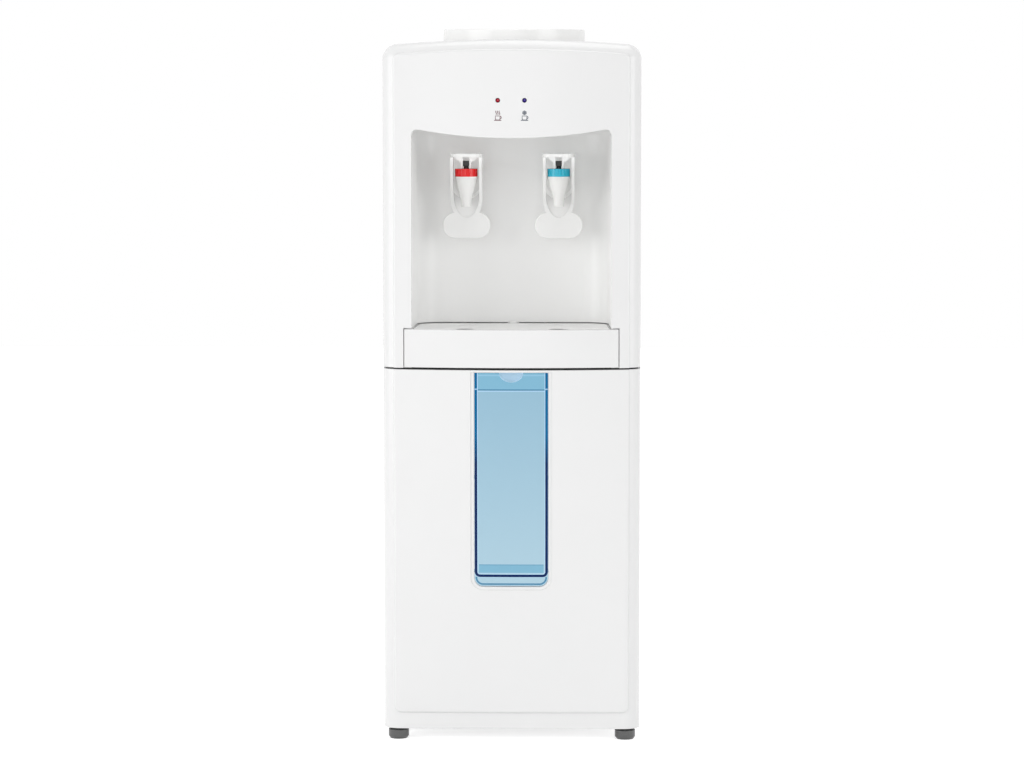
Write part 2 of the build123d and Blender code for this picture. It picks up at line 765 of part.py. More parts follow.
def tap_body():
    """Tap casting: lipped, rounded spout, valve chamber, neck, and the shank through the wall."""
    wall_y = BAY_BACK_Y - TAP_Y
    behind_y = wall_y + WALL + NUT_THICK
    top = (SPOUT_TOP_R, -SPOUT_LIP_H)
    end = (SPOUT_END_R, -SPOUT_DROP)
    with BuildSketch(Plane.XZ) as half:
        with BuildLine():
            Polyline((0, -SPOUT_DROP), (0, NECK_H), (NECK_R, NECK_H), (NECK_R, 0), (SPOUT_LIP_R, 0),
                     (SPOUT_LIP_R, -SPOUT_LIP_H), top)
            Spline(top, (SPOUT_MID_R, -SPOUT_MID_DROP), end, tangents=((-SPOUT_LEAN, -1), (0, -1)))
            Line(end, (0, -SPOUT_DROP))
        make_face()
    spout = revolve(half.sketch, Axis.Z)
    shank = rod_y(SHANK_R, 0, -SHANK_DROP, 0, behind_y)
    barb = rod_y(BARB_R, 0, -SHANK_DROP, behind_y, behind_y + BARB_LENGTH)
    flange = rod_y(TAP_FLANGE_R, 0, -SHANK_DROP, wall_y - TAP_FLANGE_THICK, wall_y)
    body = spout + shank + barb + flange
    body -= rod_z(CHAMBER_R, 0, 0, -SEAT_DROP, NECK_H + OVER)
    body -= rod_z(SPOUT_BORE_R, 0, 0, -SPOUT_DROP - OVER, 0)
    return body - rod_y(PORT_BORE_R, 0, -SHANK_DROP, 0, behind_y + BARB_LENGTH + OVER)


def tap_ring():
    """Fluted coloured ring that screws over the tap's neck and guides its stem."""
    ring = rod_z(RING_R, 0, 0, 0, RING_H)
    ring -= rod_z(NECK_R + FIT, 0, 0, -OVER, RING_H - RING_ROOF)
    ring -= rod_z(STEM_R + FIT, 0, 0, 0, RING_H + OVER)
    flute = rod_z(RING_FLUTE_R, RING_R + RING_FLUTE_R / 2, 0, RING_H - NECK_H, RING_H + OVER)
    return ring - [Rot(0, 0, 360 * i / RING_FLUTES) * flute for i in range(RING_FLUTES)]


def tap_stem():
    """Valve stem: round rod in the chamber, square head between the lever's cheeks."""
    rod = rod_z(STEM_R, 0, 0, SEAL_SOCKET_Z, STEM_HEAD_TOP - STEM_HEAD_EDGE)
    w = STEM_HEAD_W / 2
    d = STEM_HEAD_D / 2
    head = block(-w, w, -d, d, STEM_HEAD_LOW, STEM_HEAD_TOP)
    head = chamfer(head.faces().sort_by(Axis.Z)[0].edges(), STEM_HEAD_EDGE)
    return rod + head - rod_x(PIN_R + RUN_FIT, 0, PIN_RISE, -HALF, HALF)


def tap_seal():
    """Soft seal on the stem's end, which rests on the valve seat."""
    seal = rod_z(SEAL_R, 0, 0, -SEAT_DROP, -SEAT_DROP + SEAL_H)
    seal = chamfer(seal.edges().sort_by(Axis.Z)[-1], SEAL_H / 4)
    return seal - rod_z(STEM_R, 0, 0, SEAL_SOCKET_Z, 0)


def tap_spring():
    """Coil that presses the stem down, between the seal and the ring's roof."""
    low = -SEAT_DROP + SEAL_H + SPRING_WIRE
    high = RING_H - RING_ROOF - SPRING_WIRE
    path = Pos(0, 0, low) * Helix((high - low) / SPRING_TURNS, high - low, SPRING_R)
    side = SPRING_WIRE / sqrt(2)
    section = Plane(path @ 0, z_dir=path % 0) * RegularPolygon(side, 4)
    return sweep(section, path, is_frenet=True)


def fork_room():
    """The room between the lever's arms: straight above, and rounded to a fork below."""
    half = LEVER_HALF - ARM_THICK
    with BuildSketch(Plane.XZ) as room:
        with Locations((0, -FORK_TOP_DROP)):
            Ellipse(half, FORK_LOW_DROP - FORK_TOP_DROP)
        with BuildLine():
            Polyline((-half, -FORK_TOP_DROP), (half, -FORK_TOP_DROP), (half, LEVER_TOP),
                     (-half, LEVER_TOP), close=True)
        make_face()
    return extrude(room.sketch, LEVER_FRONT + OVER, both=True)


def lever_arms():
    """The lever's forked side arms: one outline from the front, one from the side."""
    plate_z = LEVER_TOP - LEVER_PLATE
    end_z = -PADDLE_TOP_DROP - PADDLE_EDGE_R
    with BuildSketch(Plane.XZ) as shape:
        with BuildLine():
            Line((-LEVER_HALF, LEVER_TOP), (LEVER_HALF, LEVER_TOP))
            Line((LEVER_HALF, LEVER_TOP), (LEVER_HALF, -ARM_KNEE_DROP))
            TangentArc((LEVER_HALF, -ARM_KNEE_DROP), (ARM_END_HALF, end_z), tangent=(0, -1))
            Line((ARM_END_HALF, end_z), (-ARM_END_HALF, end_z))
            Line((-LEVER_HALF, -ARM_KNEE_DROP), (-LEVER_HALF, LEVER_TOP))
            TangentArc((-LEVER_HALF, -ARM_KNEE_DROP), (-ARM_END_HALF, end_z), tangent=(0, -1))
        make_face()
    solid = extrude(shape.sketch, LEVER_FRONT + OVER, both=True)
    with BuildSketch(Plane.YZ) as side:
        with BuildLine():
            Polyline((-LEVER_FRONT, plate_z), (-ARM_WAIST, 0), (0, -ARM_WAIST_DROP),
                     (ARM_LOW_Y, -ARM_LOW_DROP), (LEVER_BACK - RIM_THICK, end_z), (LEVER_BACK, end_z),
                     (LEVER_BACK, plate_z), close=True)
        make_face()
    strip = extrude(side.sketch, LEVER_HALF, both=True)
    rim = block(-LEVER_HALF, LEVER_HALF, LEVER_BACK - RIM_THICK, LEVER_BACK, end_z, -FORK_TOP_DROP)
    return ((strip + rim) & solid) - fork_room()


def lever_web():
    """Thin web across the back of the fork, its top edge hollowed behind the spout."""
    half = LEVER_HALF - ARM_THICK
    radius = (half * half / WEB_TOP_DIP + WEB_TOP_DIP) / 2
    low = -FORK_LOW_DROP - OVER
    web = fork_room() & block(-half, half, LEVER_BACK - WEB_THICK, LEVER_BACK, low, -WEB_TOP_DROP)
    return web - rod_y(radius, 0, radius - WEB_TOP_DROP - WEB_TOP_DIP, 0, LEVER_BACK + OVER)


def tap_lever():
    """Cup-push lever: top plate, cheeks and gussets round the stem, forked arms, web, oval paddle."""
    plate_z = LEVER_TOP - LEVER_PLATE
    with BuildSketch(Plane.XY.offset(plate_z)) as top:
        with BuildLine():
            Polyline((-LEVER_HALF, -LEVER_FRONT), (LEVER_HALF, -LEVER_FRONT),
                     (LEVER_HALF, LEVER_BACK), (-LEVER_HALF, LEVER_BACK), close=True)
        make_face()
        fillet(top.vertices().sort_by(Axis.Y)[:2], LEVER_NOSE_R)
    plate = extrude(top.sketch, LEVER_PLATE)
    middle = -(PADDLE_TOP_DROP + PADDLE_LOW_DROP) / 2
    height = PADDLE_LOW_DROP - PADDLE_TOP_DROP
    with BuildSketch(Plane.XZ.offset(-LEVER_BACK)) as oval:
        with Locations((0, middle)):
            SlotOverall(PADDLE_HALF + PADDLE_HALF, height)
    paddle = extrude(oval.sketch, RIM_THICK)
    front = paddle.faces().sort_by(Axis.Y)[0]
    paddle = fillet(front.edges(), PADDLE_EDGE_R) - fork_room()
    lever = lever_arms() + paddle + lever_web()
    inner = LEVER_HALF - ARM_THICK
    with BuildSketch(Plane.XZ) as gusset:
        with BuildLine():
            Polyline((CHEEK_OUT, plate_z), (inner, plate_z), (CHEEK_OUT, plate_z - GUSSET_DROP),
                     close=True)
        make_face()
    rib = Pos(0, -CHEEK_FRONT + GUSSET_THICK, 0) * extrude(gusset.sketch, GUSSET_THICK)
    cheek = block(CHEEK_IN, CHEEK_OUT, -CHEEK_FRONT, CHEEK_BACK, RING_H + CHEEK_LIFT, LEVER_TOP)
    lever += [plate, *mirrored(cheek), *mirrored(rib)]
    return lever - rod_x(PIN_R + RUN_FIT, 0, PIN_RISE, -CHEEK_OUT - FIT, CHEEK_OUT + FIT)


def tap_pin():
    """Steel pin through the lever's cheeks and the stem's head."""
    return rod_x(PIN_R, 0, PIN_RISE, -CHEEK_OUT, CHEEK_OUT)


def tap_nuts():
    """Back nuts that clamp the tap shanks to the bay wall."""
    nuts = []
    for x in (-TAP_X, TAP_X):
        nut = hex_y(NUT_FLATS, x, SHANK_Z, BAY_WALL_BACK_Y, BAY_WALL_BACK_Y + NUT_THICK)
        nuts.append(nut - rod_y(SHANK_R + RUN_FIT, x, SHANK_Z, BAY_BACK_Y, BACK_Y))
    return nuts


# Lower front

def window(half, low, top, radius):
    """A window shape of the lower front with rounded lower corners."""
    with BuildSketch(Plane.XZ) as zone:
        with BuildLine():
            Polyline((-half, low), (half, low), (half, top), (-half, top), close=True)
        make_face()
        fillet(zone.vertices().sort_by(Axis.Y)[:2], radius)
    return extrude(zone.sketch, -FRONT_Y + OVER)


def lower_fascia():
    """Moulded lower front: raised field, flanges, bin window with its sunk bezel."""
    solid = lower_skin(0, BODY_LOW_Z, SEAM_LOW_Z)
    room = lower_skin(WALL, BODY_LOW_Z + WALL, SEAM_LOW_Z - WALL)
    shell = solid - room
    shell &= block(-HALF - OVER, HALF + OVER, FRONT_Y - OVER, RETURN_Y, 0, SEAM_LOW_Z)
    shell -= window(WINDOW_HALF, WINDOW_LOW_Z, WINDOW_TOP_Z, WINDOW_R)
    around = window(WINDOW_HALF + BEZEL_W, WINDOW_LOW_Z - BEZEL_W, WINDOW_TOP_Z, WINDOW_R + BEZEL_W)
    shell -= around - lower_depth(BEZEL_DEPTH)
    stems = [rod_z(FOOT_STEM_R + FIT, x, FOOT_FRONT_Y, 0, BASE_Z) for x in (-FOOT_X, FOOT_X)]
    return shell - stems


def pivot_place():
    """Where the bin's pivot lies, as Y and Z."""
    z = BIN_LOW_Z + PIVOT_UP
    return field_y(BIN_HALF, z) + PIVOT_IN, z


def stop_place():
    """Where the bin's stop studs lie, so that they meet the fascia at full tilt."""
    pivot_y, pivot_z = pivot_place()
    tilt = radians(BIN_TILT)
    raised = pivot_z + STOP_RISE / cos(tilt)
    face = field_y(WINDOW_HALF, raised) + WALL - pivot_y
    reach = (face + STOP_R + FIT + STOP_RISE * sin(tilt)) / cos(tilt)
    return pivot_y + reach, pivot_z + STOP_RISE


def finger_scoop(wall):
    """The finger pull's half-oval room behind the bin's top edge, or that room with a wall round it."""
    back_y = FRONT_Y + SCOOP_DEPTH + wall
    room = Rot(90, 0, 0) * extrude(Ellipse(NOTCH_HALF + wall, NOTCH_DROP + wall), -FRONT_Y + OVER)
    room = Pos(0, 0, BIN_TOP_Z) * room
    top = BIN_TOP_Z + (OVER if wall == 0 else 0)
    return room & block(-HALF, HALF, FRONT_Y - OVER, back_y, BIN_LOW_Z, top)


def cup_bin():
    """Tilt-out bin: bowed pane with a notch and grip band, and the bucket moulded behind it."""
    face_zone = window(BIN_HALF, BIN_LOW_Z, BIN_TOP_Z, BIN_R)
    plate = (face_zone & lower_depth(BIN_SINK)) - lower_depth(BIN_SINK + BIN_PLATE)
    band = window(BUCKET_HALF - BIN_WALL / 2, BIN_TOP_Z - GRIP_BAND_H, BIN_TOP_Z, FIT)
    band = (band & lower_depth(BIN_SINK + BIN_PLATE / 2))
    band -= lower_depth(BIN_SINK + BIN_PLATE + GRIP_BAND_THICK)
    front_top = FRAME_Y - UPPER_BOW
    back_y = field_y(0, BIN_LOW_Z) + BIN_DEPTH
    side_top = BIN_TOP_Z - BIN_SIDE_DROP
    with BuildSketch(Plane.YZ) as side:
        with BuildLine():
            Polyline((FRONT_Y, BUCKET_Z), (back_y, BUCKET_Z), (back_y, BIN_LOW_Z + BIN_SHOULDER_H),
                     (front_top + BIN_TOP_DEPTH, side_top), (FRONT_Y, side_top), close=True)
        make_face()
    body = extrude(side.sketch, BUCKET_HALF, both=True) & lower_depth(BIN_SINK + BIN_PLATE / 2)
    body &= window(BUCKET_HALF, BUCKET_Z, BIN_TOP_Z, BUCKET_R)
    inner_half = BUCKET_HALF - BIN_WALL
    inner = window(inner_half, BUCKET_Z + BIN_WALL, SEAM_Z, BUCKET_R - BIN_WALL)
    inner &= block(-inner_half, inner_half, FRONT_Y, back_y - BIN_WALL, BUCKET_Z, SEAM_Z)
    inner &= lower_depth(BIN_SINK + BIN_PLATE)
    bin_ = plate + band + (body - inner)
    bin_ += finger_scoop(SCOOP_WALL) & lower_depth(BIN_SINK + BIN_PLATE / 2)
    bin_ -= finger_scoop(0)
    pivot_y, pivot_z = pivot_place()
    stop_y, stop_z = stop_place()
    inside = BUCKET_HALF - BIN_WALL / 2
    pins = mirrored(rod_x(PIVOT_R, pivot_y, pivot_z, inside, WELL_HALF - FIT))
    stops = mirrored(rod_x(STOP_R, stop_y, stop_z, inside, BIN_HALF + STOP_LENGTH))
    return bin_ + pins + stops


def bin_well():
    """White liner behind the bin window, with the bosses that carry the bin's pivots."""
    low = WELL_LOW_Z
    high = SEAM_LOW_Z - WALL - FIT
    half = WELL_HALF + WELL_WALL
    outer = block(-half, half, FRONT_Y, WELL_BACK_Y + WELL_WALL, low - WELL_WALL, high)
    room = block(-WELL_HALF, WELL_HALF, FRONT_Y - OVER, WELL_BACK_Y, low, high + OVER)
    pivot_y, pivot_z = pivot_place()
    bosses = mirrored(rod_x(BOSS_R, pivot_y, pivot_z, WINDOW_HALF + FIT, WELL_HALF))
    well = (outer - room) + bosses
    well &= lower_skin(WALL + FIT, BODY_LOW_Z + WALL, SEAM_LOW_Z - WALL)
    return well - rod_x(PIVOT_R + RUN_FIT, pivot_y, pivot_z, -WELL_HALF, WELL_HALF)


# Top cover and the bottle seat

def top_cover():
    """Moulded crowned cover behind the upper front, open for the bottle seat."""
    outer = upper_form(0, SEAM_HIGH_Z, BACK_Y)
    inner = upper_form(WALL, SEAM_HIGH_Z, BACK_Y - WALL)
    cover = outer - inner
    cover &= block(-HALF, HALF, RETURN_Y + PANEL_GAP, BACK_Y, COVER_SIDE_Z, SEAT_TOP_Z)
    return cover - rod_z(SEAT_R + FIT, 0, BOTTLE_Y, COVER_SIDE_Z - OVER, SEAT_TOP_Z + OVER)


def bottle_collar():
    """Bottle seat: round collar, flange under the cover, funnel and sump."""
    inner = SEAT_R - SEAT_WALL
    flange_low = SEAT_FLANGE_Z - SEAT_FLANGE_THICK
    lip = SEAT_WALL / 3
    sump = SUMP_R + WALL
    return Pos(0, BOTTLE_Y, 0) * turned([
        (PROBE_NECK_R + FIT, SUMP_LOW_Z), (sump, SUMP_LOW_Z), (sump, SUMP_TOP_Z - WALL),
        (SEAT_R, flange_low), (SEAT_FLANGE_R, flange_low), (SEAT_FLANGE_R, SEAT_FLANGE_Z),
        (SEAT_R, SEAT_FLANGE_Z), (SEAT_R, SEAT_TOP_Z - lip), (SEAT_R - lip, SEAT_TOP_Z),
        (inner + lip, SEAT_TOP_Z), (inner, SEAT_TOP_Z - lip), (inner, SEAT_FLANGE_Z),
        (SUMP_R, SUMP_TOP_Z), (SUMP_R, SUMP_LOW_Z + WALL), (PROBE_NECK_R + FIT, SUMP_LOW_Z + WALL)])


def bottle_probe():
    """Hollow spike that opens the bottle's cap and feeds the cold tank below."""
    floor = SUMP_LOW_Z + WALL
    base_top = floor + PROBE_WALL
    tip_low = PROBE_TOP_Z - PROBE_TIP_R
    neck_low = COLD_TOP_Z - COLD_WALL - FIT
    bore = PROBE_NECK_R - PROBE_WALL
    spike = turned([
        (PROBE_NECK_R, neck_low), (PROBE_NECK_R, floor), (PROBE_BASE_R, floor), (PROBE_BASE_R, base_top),
        (PROBE_R, base_top), (PROBE_TIP_R, tip_low), (PROBE_TIP_R / 2, PROBE_TOP_Z), (0, PROBE_TOP_Z),
        (0, tip_low - PROBE_WALL), (PROBE_TIP_R - PROBE_WALL, tip_low - PROBE_WALL), (bore, base_top),
        (bore, neck_low)])
    slot = block(0, PROBE_BASE_R, -PROBE_SLOT_W / 2, PROBE_SLOT_W / 2, base_top + PROBE_WALL,
                 base_top + PROBE_WALL + PROBE_SLOT_H)
    spike -= [Rot(0, 0, 360 * i / PROBE_SLOTS) * slot for i in range(PROBE_SLOTS)]
    return Pos(0, BOTTLE_Y, 0) * spike


# Sheet body

def screw_places():
    """Where the back panel's screws stand, as X and Z."""
    x = HALF - SHEET - SCREW_IN
    rise = (SCREW_HIGH_Z - SCREW_LOW_Z) / (SCREW_ROWS - 1)
    return [(side * x, SCREW_LOW_Z + rise * i) for side in (-1, 1) for i in range(SCREW_ROWS)]


def screw_holes(radius):
    """Bores for the back panel's screws."""
    y0 = BACK_Y - SCREW_LENGTH - OVER
    return [rod_y(radius, x, z, y0, BACK_Y + OVER) for x, z in screw_places()]


def side_panel():
    """Right side panel: one sheet folded in along its front and back edges."""
    front = RETURN_Y + PANEL_GAP
    top = COVER_SIDE_Z - PANEL_GAP
    inner = HALF - SHEET
    flange = inner - FLANGE_W
    sheet = block(inner, HALF, front, BACK_Y, BASE_Z, top)
    fold = BASE_Z + BASE_RIM_H + PANEL_GAP
    sheet += block(flange, HALF, front, front + SHEET, fold, top)
    sheet += block(flange, HALF, SHEET_BACK_Y - SHEET, SHEET_BACK_Y, fold, top)
    deck_low = DECK_Z - DECK_FLANGE_H - PANEL_GAP
    notch = block(flange - OVER, inner, front - OVER, BACK_Y, deck_low, DECK_Z + PANEL_GAP)
    return sheet - (notch & block(0, inner, front, front + FLANGE_W, 0, top)) - screw_holes(SCREW_R + FIT)


def back_panel():
    """Sheet back with its fan vent, louvre slots and the holes of its fittings."""
    half = HALF - SHEET - FIT
    sheet = block(-half, half, SHEET_BACK_Y, BACK_Y, BASE_Z, COVER_SIDE_Z - PANEL_GAP)
    y0 = SHEET_BACK_Y - OVER
    y1 = BACK_Y + OVER
    sheet -= rod_y(VENT_R, 0, COOLER_Z, y0, y1)
    sheet -= rod_y(DRAIN_HOLE_R + FIT, HOT_X, DRAIN_Z, y0, y1)
    sheet -= rod_y(GLAND_R + FIT, GLAND_X, GLAND_Z, y0, y1)
    for z in (SWITCH_COLD_Z, SWITCH_HOT_Z):
        w = SWITCH_W / 2 + FIT
        h = SWITCH_H / 2 + FIT
        sheet -= block(SWITCH_X - w, SWITCH_X + w, y0, y1, z - h, z + h)
    for i in range(LOUVRE_COUNT):
        z = LOUVRE_LOW_Z + LOUVRE_PITCH * i
        sheet -= block(-LOUVRE_W / 2, LOUVRE_W / 2, y0, y1, z, z + LOUVRE_H)
    return sheet - screw_holes(SCREW_R + FIT)


def back_panel_screws():
    """Pan-head screws of the back panel."""
    screws = []
    for x, z in screw_places():
        head = rod_y(SCREW_HEAD_R, x, z, BACK_Y, BACK_Y + SCREW_HEAD)
        screws.append(head + rod_y(SCREW_R, x, z, BACK_Y - SCREW_LENGTH, BACK_Y))
    return screws


def foot_places():
    """Where the four feet stand, by name, as X and Y."""
    return {"front_left": (-FOOT_X, FOOT_FRONT_Y), "front_right": (FOOT_X, FOOT_FRONT_Y),
            "back_left": (-FOOT_X, FOOT_BACK_Y), "back_right": (FOOT_X, FOOT_BACK_Y)}


def base_pan():
    """Floor pan with a turned-up rim, and bosses over the rear feet."""
    back = SHEET_BACK_Y - FIT
    solid = block(-BASE_HALF, BASE_HALF, BASE_FRONT_Y, back, BASE_Z, BASE_Z + BASE_RIM_H)
    upright = solid.edges().filter_by(Axis.Z).sort_by(Axis.Y)[:2]
    solid = fillet(upright, CORNER_R)
    room = block(-BASE_HALF + BASE_THICK, BASE_HALF - BASE_THICK, BASE_FRONT_Y + BASE_THICK,
                 back - BASE_THICK, BASE_Z + BASE_THICK, BASE_Z + BASE_RIM_H + OVER)
    upright = room.edges().filter_by(Axis.Z).sort_by(Axis.Y)[:2]
    pan = solid - fillet(upright, CORNER_R - BASE_THICK)
    for x, y in foot_places().values():
        if y > 0:
            pan += rod_z(FOOT_BOSS_R, x, y, BODY_LOW_Z, BASE_Z)
        pan -= rod_z(FOOT_STEM_R + RUN_FIT, x, y, 0, BASE_Z + OVER)
    return pan


def foot(x, y):
    """Levelling foot: rounded pad on a threaded stem."""
    pad = turned([(0, 0), (FOOT_SOLE_R, 0), (FOOT_R, FOOT_SOLE_H), (FOOT_R, FOOT_BAND_H),
                  (FOOT_TOP_R, BODY_LOW_Z), (FOOT_STEM_R, BODY_LOW_Z), (FOOT_STEM_R, FOOT_STEM_TOP_Z),
                  (0, FOOT_STEM_TOP_Z)])
    return Pos(x, y, 0) * pad


def mid_deck():
    """Folded shelf that carries the hot tank, notched round the bin's liner."""
    half = HALF - SHEET - FIT
    front = RETURN_Y + PANEL_GAP + SHEET + FIT
    back = SHEET_BACK_Y - SHEET - FIT
    deck = block(-half, half, front, back, DECK_Z - BASE_THICK, DECK_Z)
    for side in mirrored(block(half - BASE_THICK, half, front, back, DECK_Z - DECK_FLANGE_H, DECK_Z)):
        deck += side
    notch = WELL_HALF + WELL_WALL + FIT
    deck -= block(-notch, notch, front - OVER, WELL_BACK_Y + WELL_WALL + FIT,
                  DECK_Z - DECK_FLANGE_H, DECK_Z + OVER)
    return deck


def seam_gasket():
    """Dark strip that fills the seam between the two front mouldings."""
    outer = extrude(outline(UPPER_BOW, GASKET_IN, SEAM_LOW_Z, 0, BACK_Y), SEAM_GAP)
    inner = extrude(outline(UPPER_BOW, GASKET_IN + GASKET_W, SEAM_LOW_Z, 0, BACK_Y), SEAM_GAP)
    strip = outer - inner
    return strip & block(-HALF, HALF, FRONT_Y, RETURN_Y, SEAM_LOW_Z, SEAM_HIGH_Z)


# Cold side

def port(axis, x, y, z, start, end):
    """A hose port: a short tube along Y or Z, given with its bore to cut."""
    if axis == "y":
        return rod_y(BARB_R, x, z, start, end), rod_y(PORT_BORE_R, x, z, start - OVER, end + OVER)
    return rod_z(BARB_R, x, y, start, end), rod_z(PORT_BORE_R, x, y, start - OVER, end + OVER)


def tank_box(grow):
    """The cold tank's outer form, grown by a margin."""
    solid = block(-COLD_HALF - grow, COLD_HALF + grow, COLD_FRONT_Y - grow, COLD_BACK_Y + grow,
                  COLD_LOW_Z - grow, COLD_TOP_Z + grow)
    return fillet(solid.edges().filter_by(Axis.Z), COLD_R + grow)


def cold_tank():
    """Steel cold-water tank with its outlet, feed and inlet openings."""
    tank = tank_box(0) - tank_box(-COLD_WALL)
    tube, bore = port("y", COLD_PORT_X, 0, COLD_PORT_Z, FOAM_FRONT_Y - BARB_LENGTH, COLD_FRONT_Y)
    feed, feed_bore = port("z", FEED_X, FEED_Y, 0, COLD_LOW_Z - FOAM - BARB_LENGTH, COLD_LOW_Z)
    tank = tank + tube + feed - bore - feed_bore
    return tank - rod_z(PROBE_NECK_R + FIT, 0, BOTTLE_Y, COLD_TOP_Z - OVER, COLD_TOP_Z + OVER)


def cold_tank_foam():
    """Foam jacket of the cold tank, open for the cooling block and the ports."""
    foam = tank_box(FOAM) - tank_box(FIT)
    w = BLOCK_W / 2 + FIT
    foam -= block(-w, w, COLD_BACK_Y - OVER, FOAM_BACK_Y + OVER, COOLER_Z - w, COOLER_Z + w)
    foam -= rod_y(BARB_R + FIT, COLD_PORT_X, COLD_PORT_Z, FOAM_FRONT_Y - OVER, COLD_FRONT_Y)
    foam -= rod_z(BARB_R + FIT, FEED_X, FEED_Y, COLD_LOW_Z - FOAM - OVER, COLD_LOW_Z)
    return foam - rod_z(PROBE_NECK_R + FOAM, 0, BOTTLE_Y, COLD_TOP_Z, SUMP_LOW_Z)


def cooling_module():
    """Thermoelectric module on its cold block, between the tank and the heat sink."""
    w = BLOCK_W / 2
    m = MODULE_W / 2
    middle = FOAM_BACK_Y - MODULE_THICK
    cold = block(-w, w, COLD_BACK_Y, middle, COOLER_Z - w, COOLER_Z + w)
    return cold + block(-m, m, middle, FOAM_BACK_Y, COOLER_Z - m, COOLER_Z + m)


def heat_sink():
    """Finned heat sink of the cooling block."""
    w = SINK_W / 2
    sink = block(-w, w, FOAM_BACK_Y, FOAM_BACK_Y + SINK_BASE, COOLER_Z - w, COOLER_Z + w)
    pitch = (SINK_W - SINK_FIN) / (SINK_FINS - 1)
    for i in range(SINK_FINS):
        x = -w + pitch * i
        sink += block(x, x + SINK_FIN, FOAM_BACK_Y, FAN_FRONT_Y - FIT, COOLER_Z - w, COOLER_Z + w)
    return sink


def fan_frame():
    """Square fan frame with its struts and motor post."""
    w = FAN_W / 2
    s = FAN_STRUT / 2
    frame = block(-w, w, FAN_FRONT_Y, SHEET_BACK_Y, COOLER_Z - w, COOLER_Z + w)
    frame -= rod_y(FAN_HOLE_R, 0, COOLER_Z, FAN_FRONT_Y - OVER, SHEET_BACK_Y + OVER)
    strut_y = SHEET_BACK_Y - FAN_STRUT
    bar = block(-s, s, strut_y, SHEET_BACK_Y, COOLER_Z - w, COOLER_Z + w)
    cross = block(-w, w, strut_y, SHEET_BACK_Y, COOLER_Z - s, COOLER_Z + s)
    post = rod_y(FAN_AXLE_R, 0, COOLER_Z, FAN_FRONT_Y + FAN_STRUT, SHEET_BACK_Y)
    return frame + bar + cross + post


def fan_rotor():
    """Fan hub with its pitched blades."""
    y0 = FAN_FRONT_Y + FAN_STRUT
    y1 = SHEET_BACK_Y - FAN_STRUT - FAN_STRUT / 2
    hub = rod_y(FAN_HUB_R, 0, COOLER_Z, y0, y1)
    tip = FAN_HOLE_R - FAN_STRUT / 2
    middle = (y0 + y1) / 2
    blade = Rot(0, 0, FAN_BLADE_PITCH) * Box(FAN_BLADE, y1 - y0, tip - FAN_HUB_R / 2,
                                             align=(Align.CENTER, Align.CENTER, Align.MIN))
    blade = Pos(0, middle, 0) * Pos(0, 0, FAN_HUB_R / 2) * blade
    keep = rod_y(tip, 0, 0, y0, y1)
    for i in range(FAN_BLADES):
        hub += Pos(0, 0, COOLER_Z) * (Rot(0, 360 * i / FAN_BLADES, 0) * blade & keep)
    return hub - rod_y(FAN_AXLE_R + RUN_FIT, 0, COOLER_Z, y0 - OVER, y1 + OVER)


# Hot side

def hot_tank():
    """Steel hot-water tank on its skirt, with outlet, feed and drain ports."""
    def drum(inset):
        solid = rod_z(HOT_R - inset, HOT_X, HOT_Y, HOT_LOW_Z + inset, HOT_TOP_Z - inset)
        return chamfer(solid.edges().filter_by(GeomType.CIRCLE), HOT_EDGE)

    shell = drum(0) - drum(HOT_WALL)
    skirt = rod_z(HOT_SKIRT_R, HOT_X, HOT_Y, DECK_Z, HOT_LOW_Z + HOT_WALL)
    skirt -= rod_z(HOT_SKIRT_R - HOT_WALL, HOT_X, HOT_Y, DECK_Z - OVER, HOT_LOW_Z + HOT_WALL + OVER)
    room = drum(HOT_WALL)
    tank = shell + skirt
    front_y = HOT_Y - sqrt(HOT_R ** 2 - (HOT_PORT_X - HOT_X) ** 2)
    outlet, outlet_bore = port("y", HOT_PORT_X, 0, HOT_PORT_Z, FOAM_FRONT_Y - BARB_LENGTH,
                               front_y + HOT_WALL + HOT_WALL)
    drain, drain_bore = port("y", HOT_X, 0, DRAIN_Z, HOT_Y + HOT_R - HOT_WALL, HOT_Y + HOT_R + BARB_LENGTH)
    side = HOT_X + HOT_R
    feed = rod_x(BARB_R, FEED_Y, FEED_Z, side - HOT_WALL, side + BARB_LENGTH)
    feed_bore = rod_x(PORT_BORE_R, FEED_Y, FEED_Z, side - OVER, side + OVER)
    tank = tank + (outlet - room) + (drain - room) + (feed - room)
    return tank - outlet_bore - drain_bore - feed_bore


def heater_band():
    """Heater band clamped round the hot tank, with its terminal lug."""
    outer = HOT_R + FIT + BAND_THICK
    band = rod_z(outer, HOT_X, HOT_Y, BAND_LOW_Z, BAND_HIGH_Z)
    lug_y = HOT_Y + HOT_R
    band += block(HOT_X - BAND_LUG_W / 2, HOT_X + BAND_LUG_W / 2, lug_y, lug_y + BAND_LUG_OUT,
                  BAND_LOW_Z, BAND_HIGH_Z)
    return band - rod_z(HOT_R + FIT, HOT_X, HOT_Y, BAND_LOW_Z - OVER, BAND_HIGH_Z + OVER)


def thermostats():
    """Two button thermostats held against the hot tank's side."""
    side = HOT_X - HOT_R
    around = rod_z(HOT_R + RUN_FIT, HOT_X, HOT_Y, HOT_LOW_Z, HOT_TOP_Z)
    return [rod_x(THERMO_R, HOT_Y, THERMO_LOW_Z + THERMO_PITCH * i, side - THERMO_THICK, side + FIT)
            - around for i in range(2)]


def hose(points):
    """A hose along straight runs joined by bends."""
    path = FilletPolyline(*points, radius=HOSE_BEND_R)
    end = Plane(path @ 0, z_dir=path % 0)
    return sweep(end * (Circle(HOSE_R) - Circle(HOSE_BORE_R)), path)


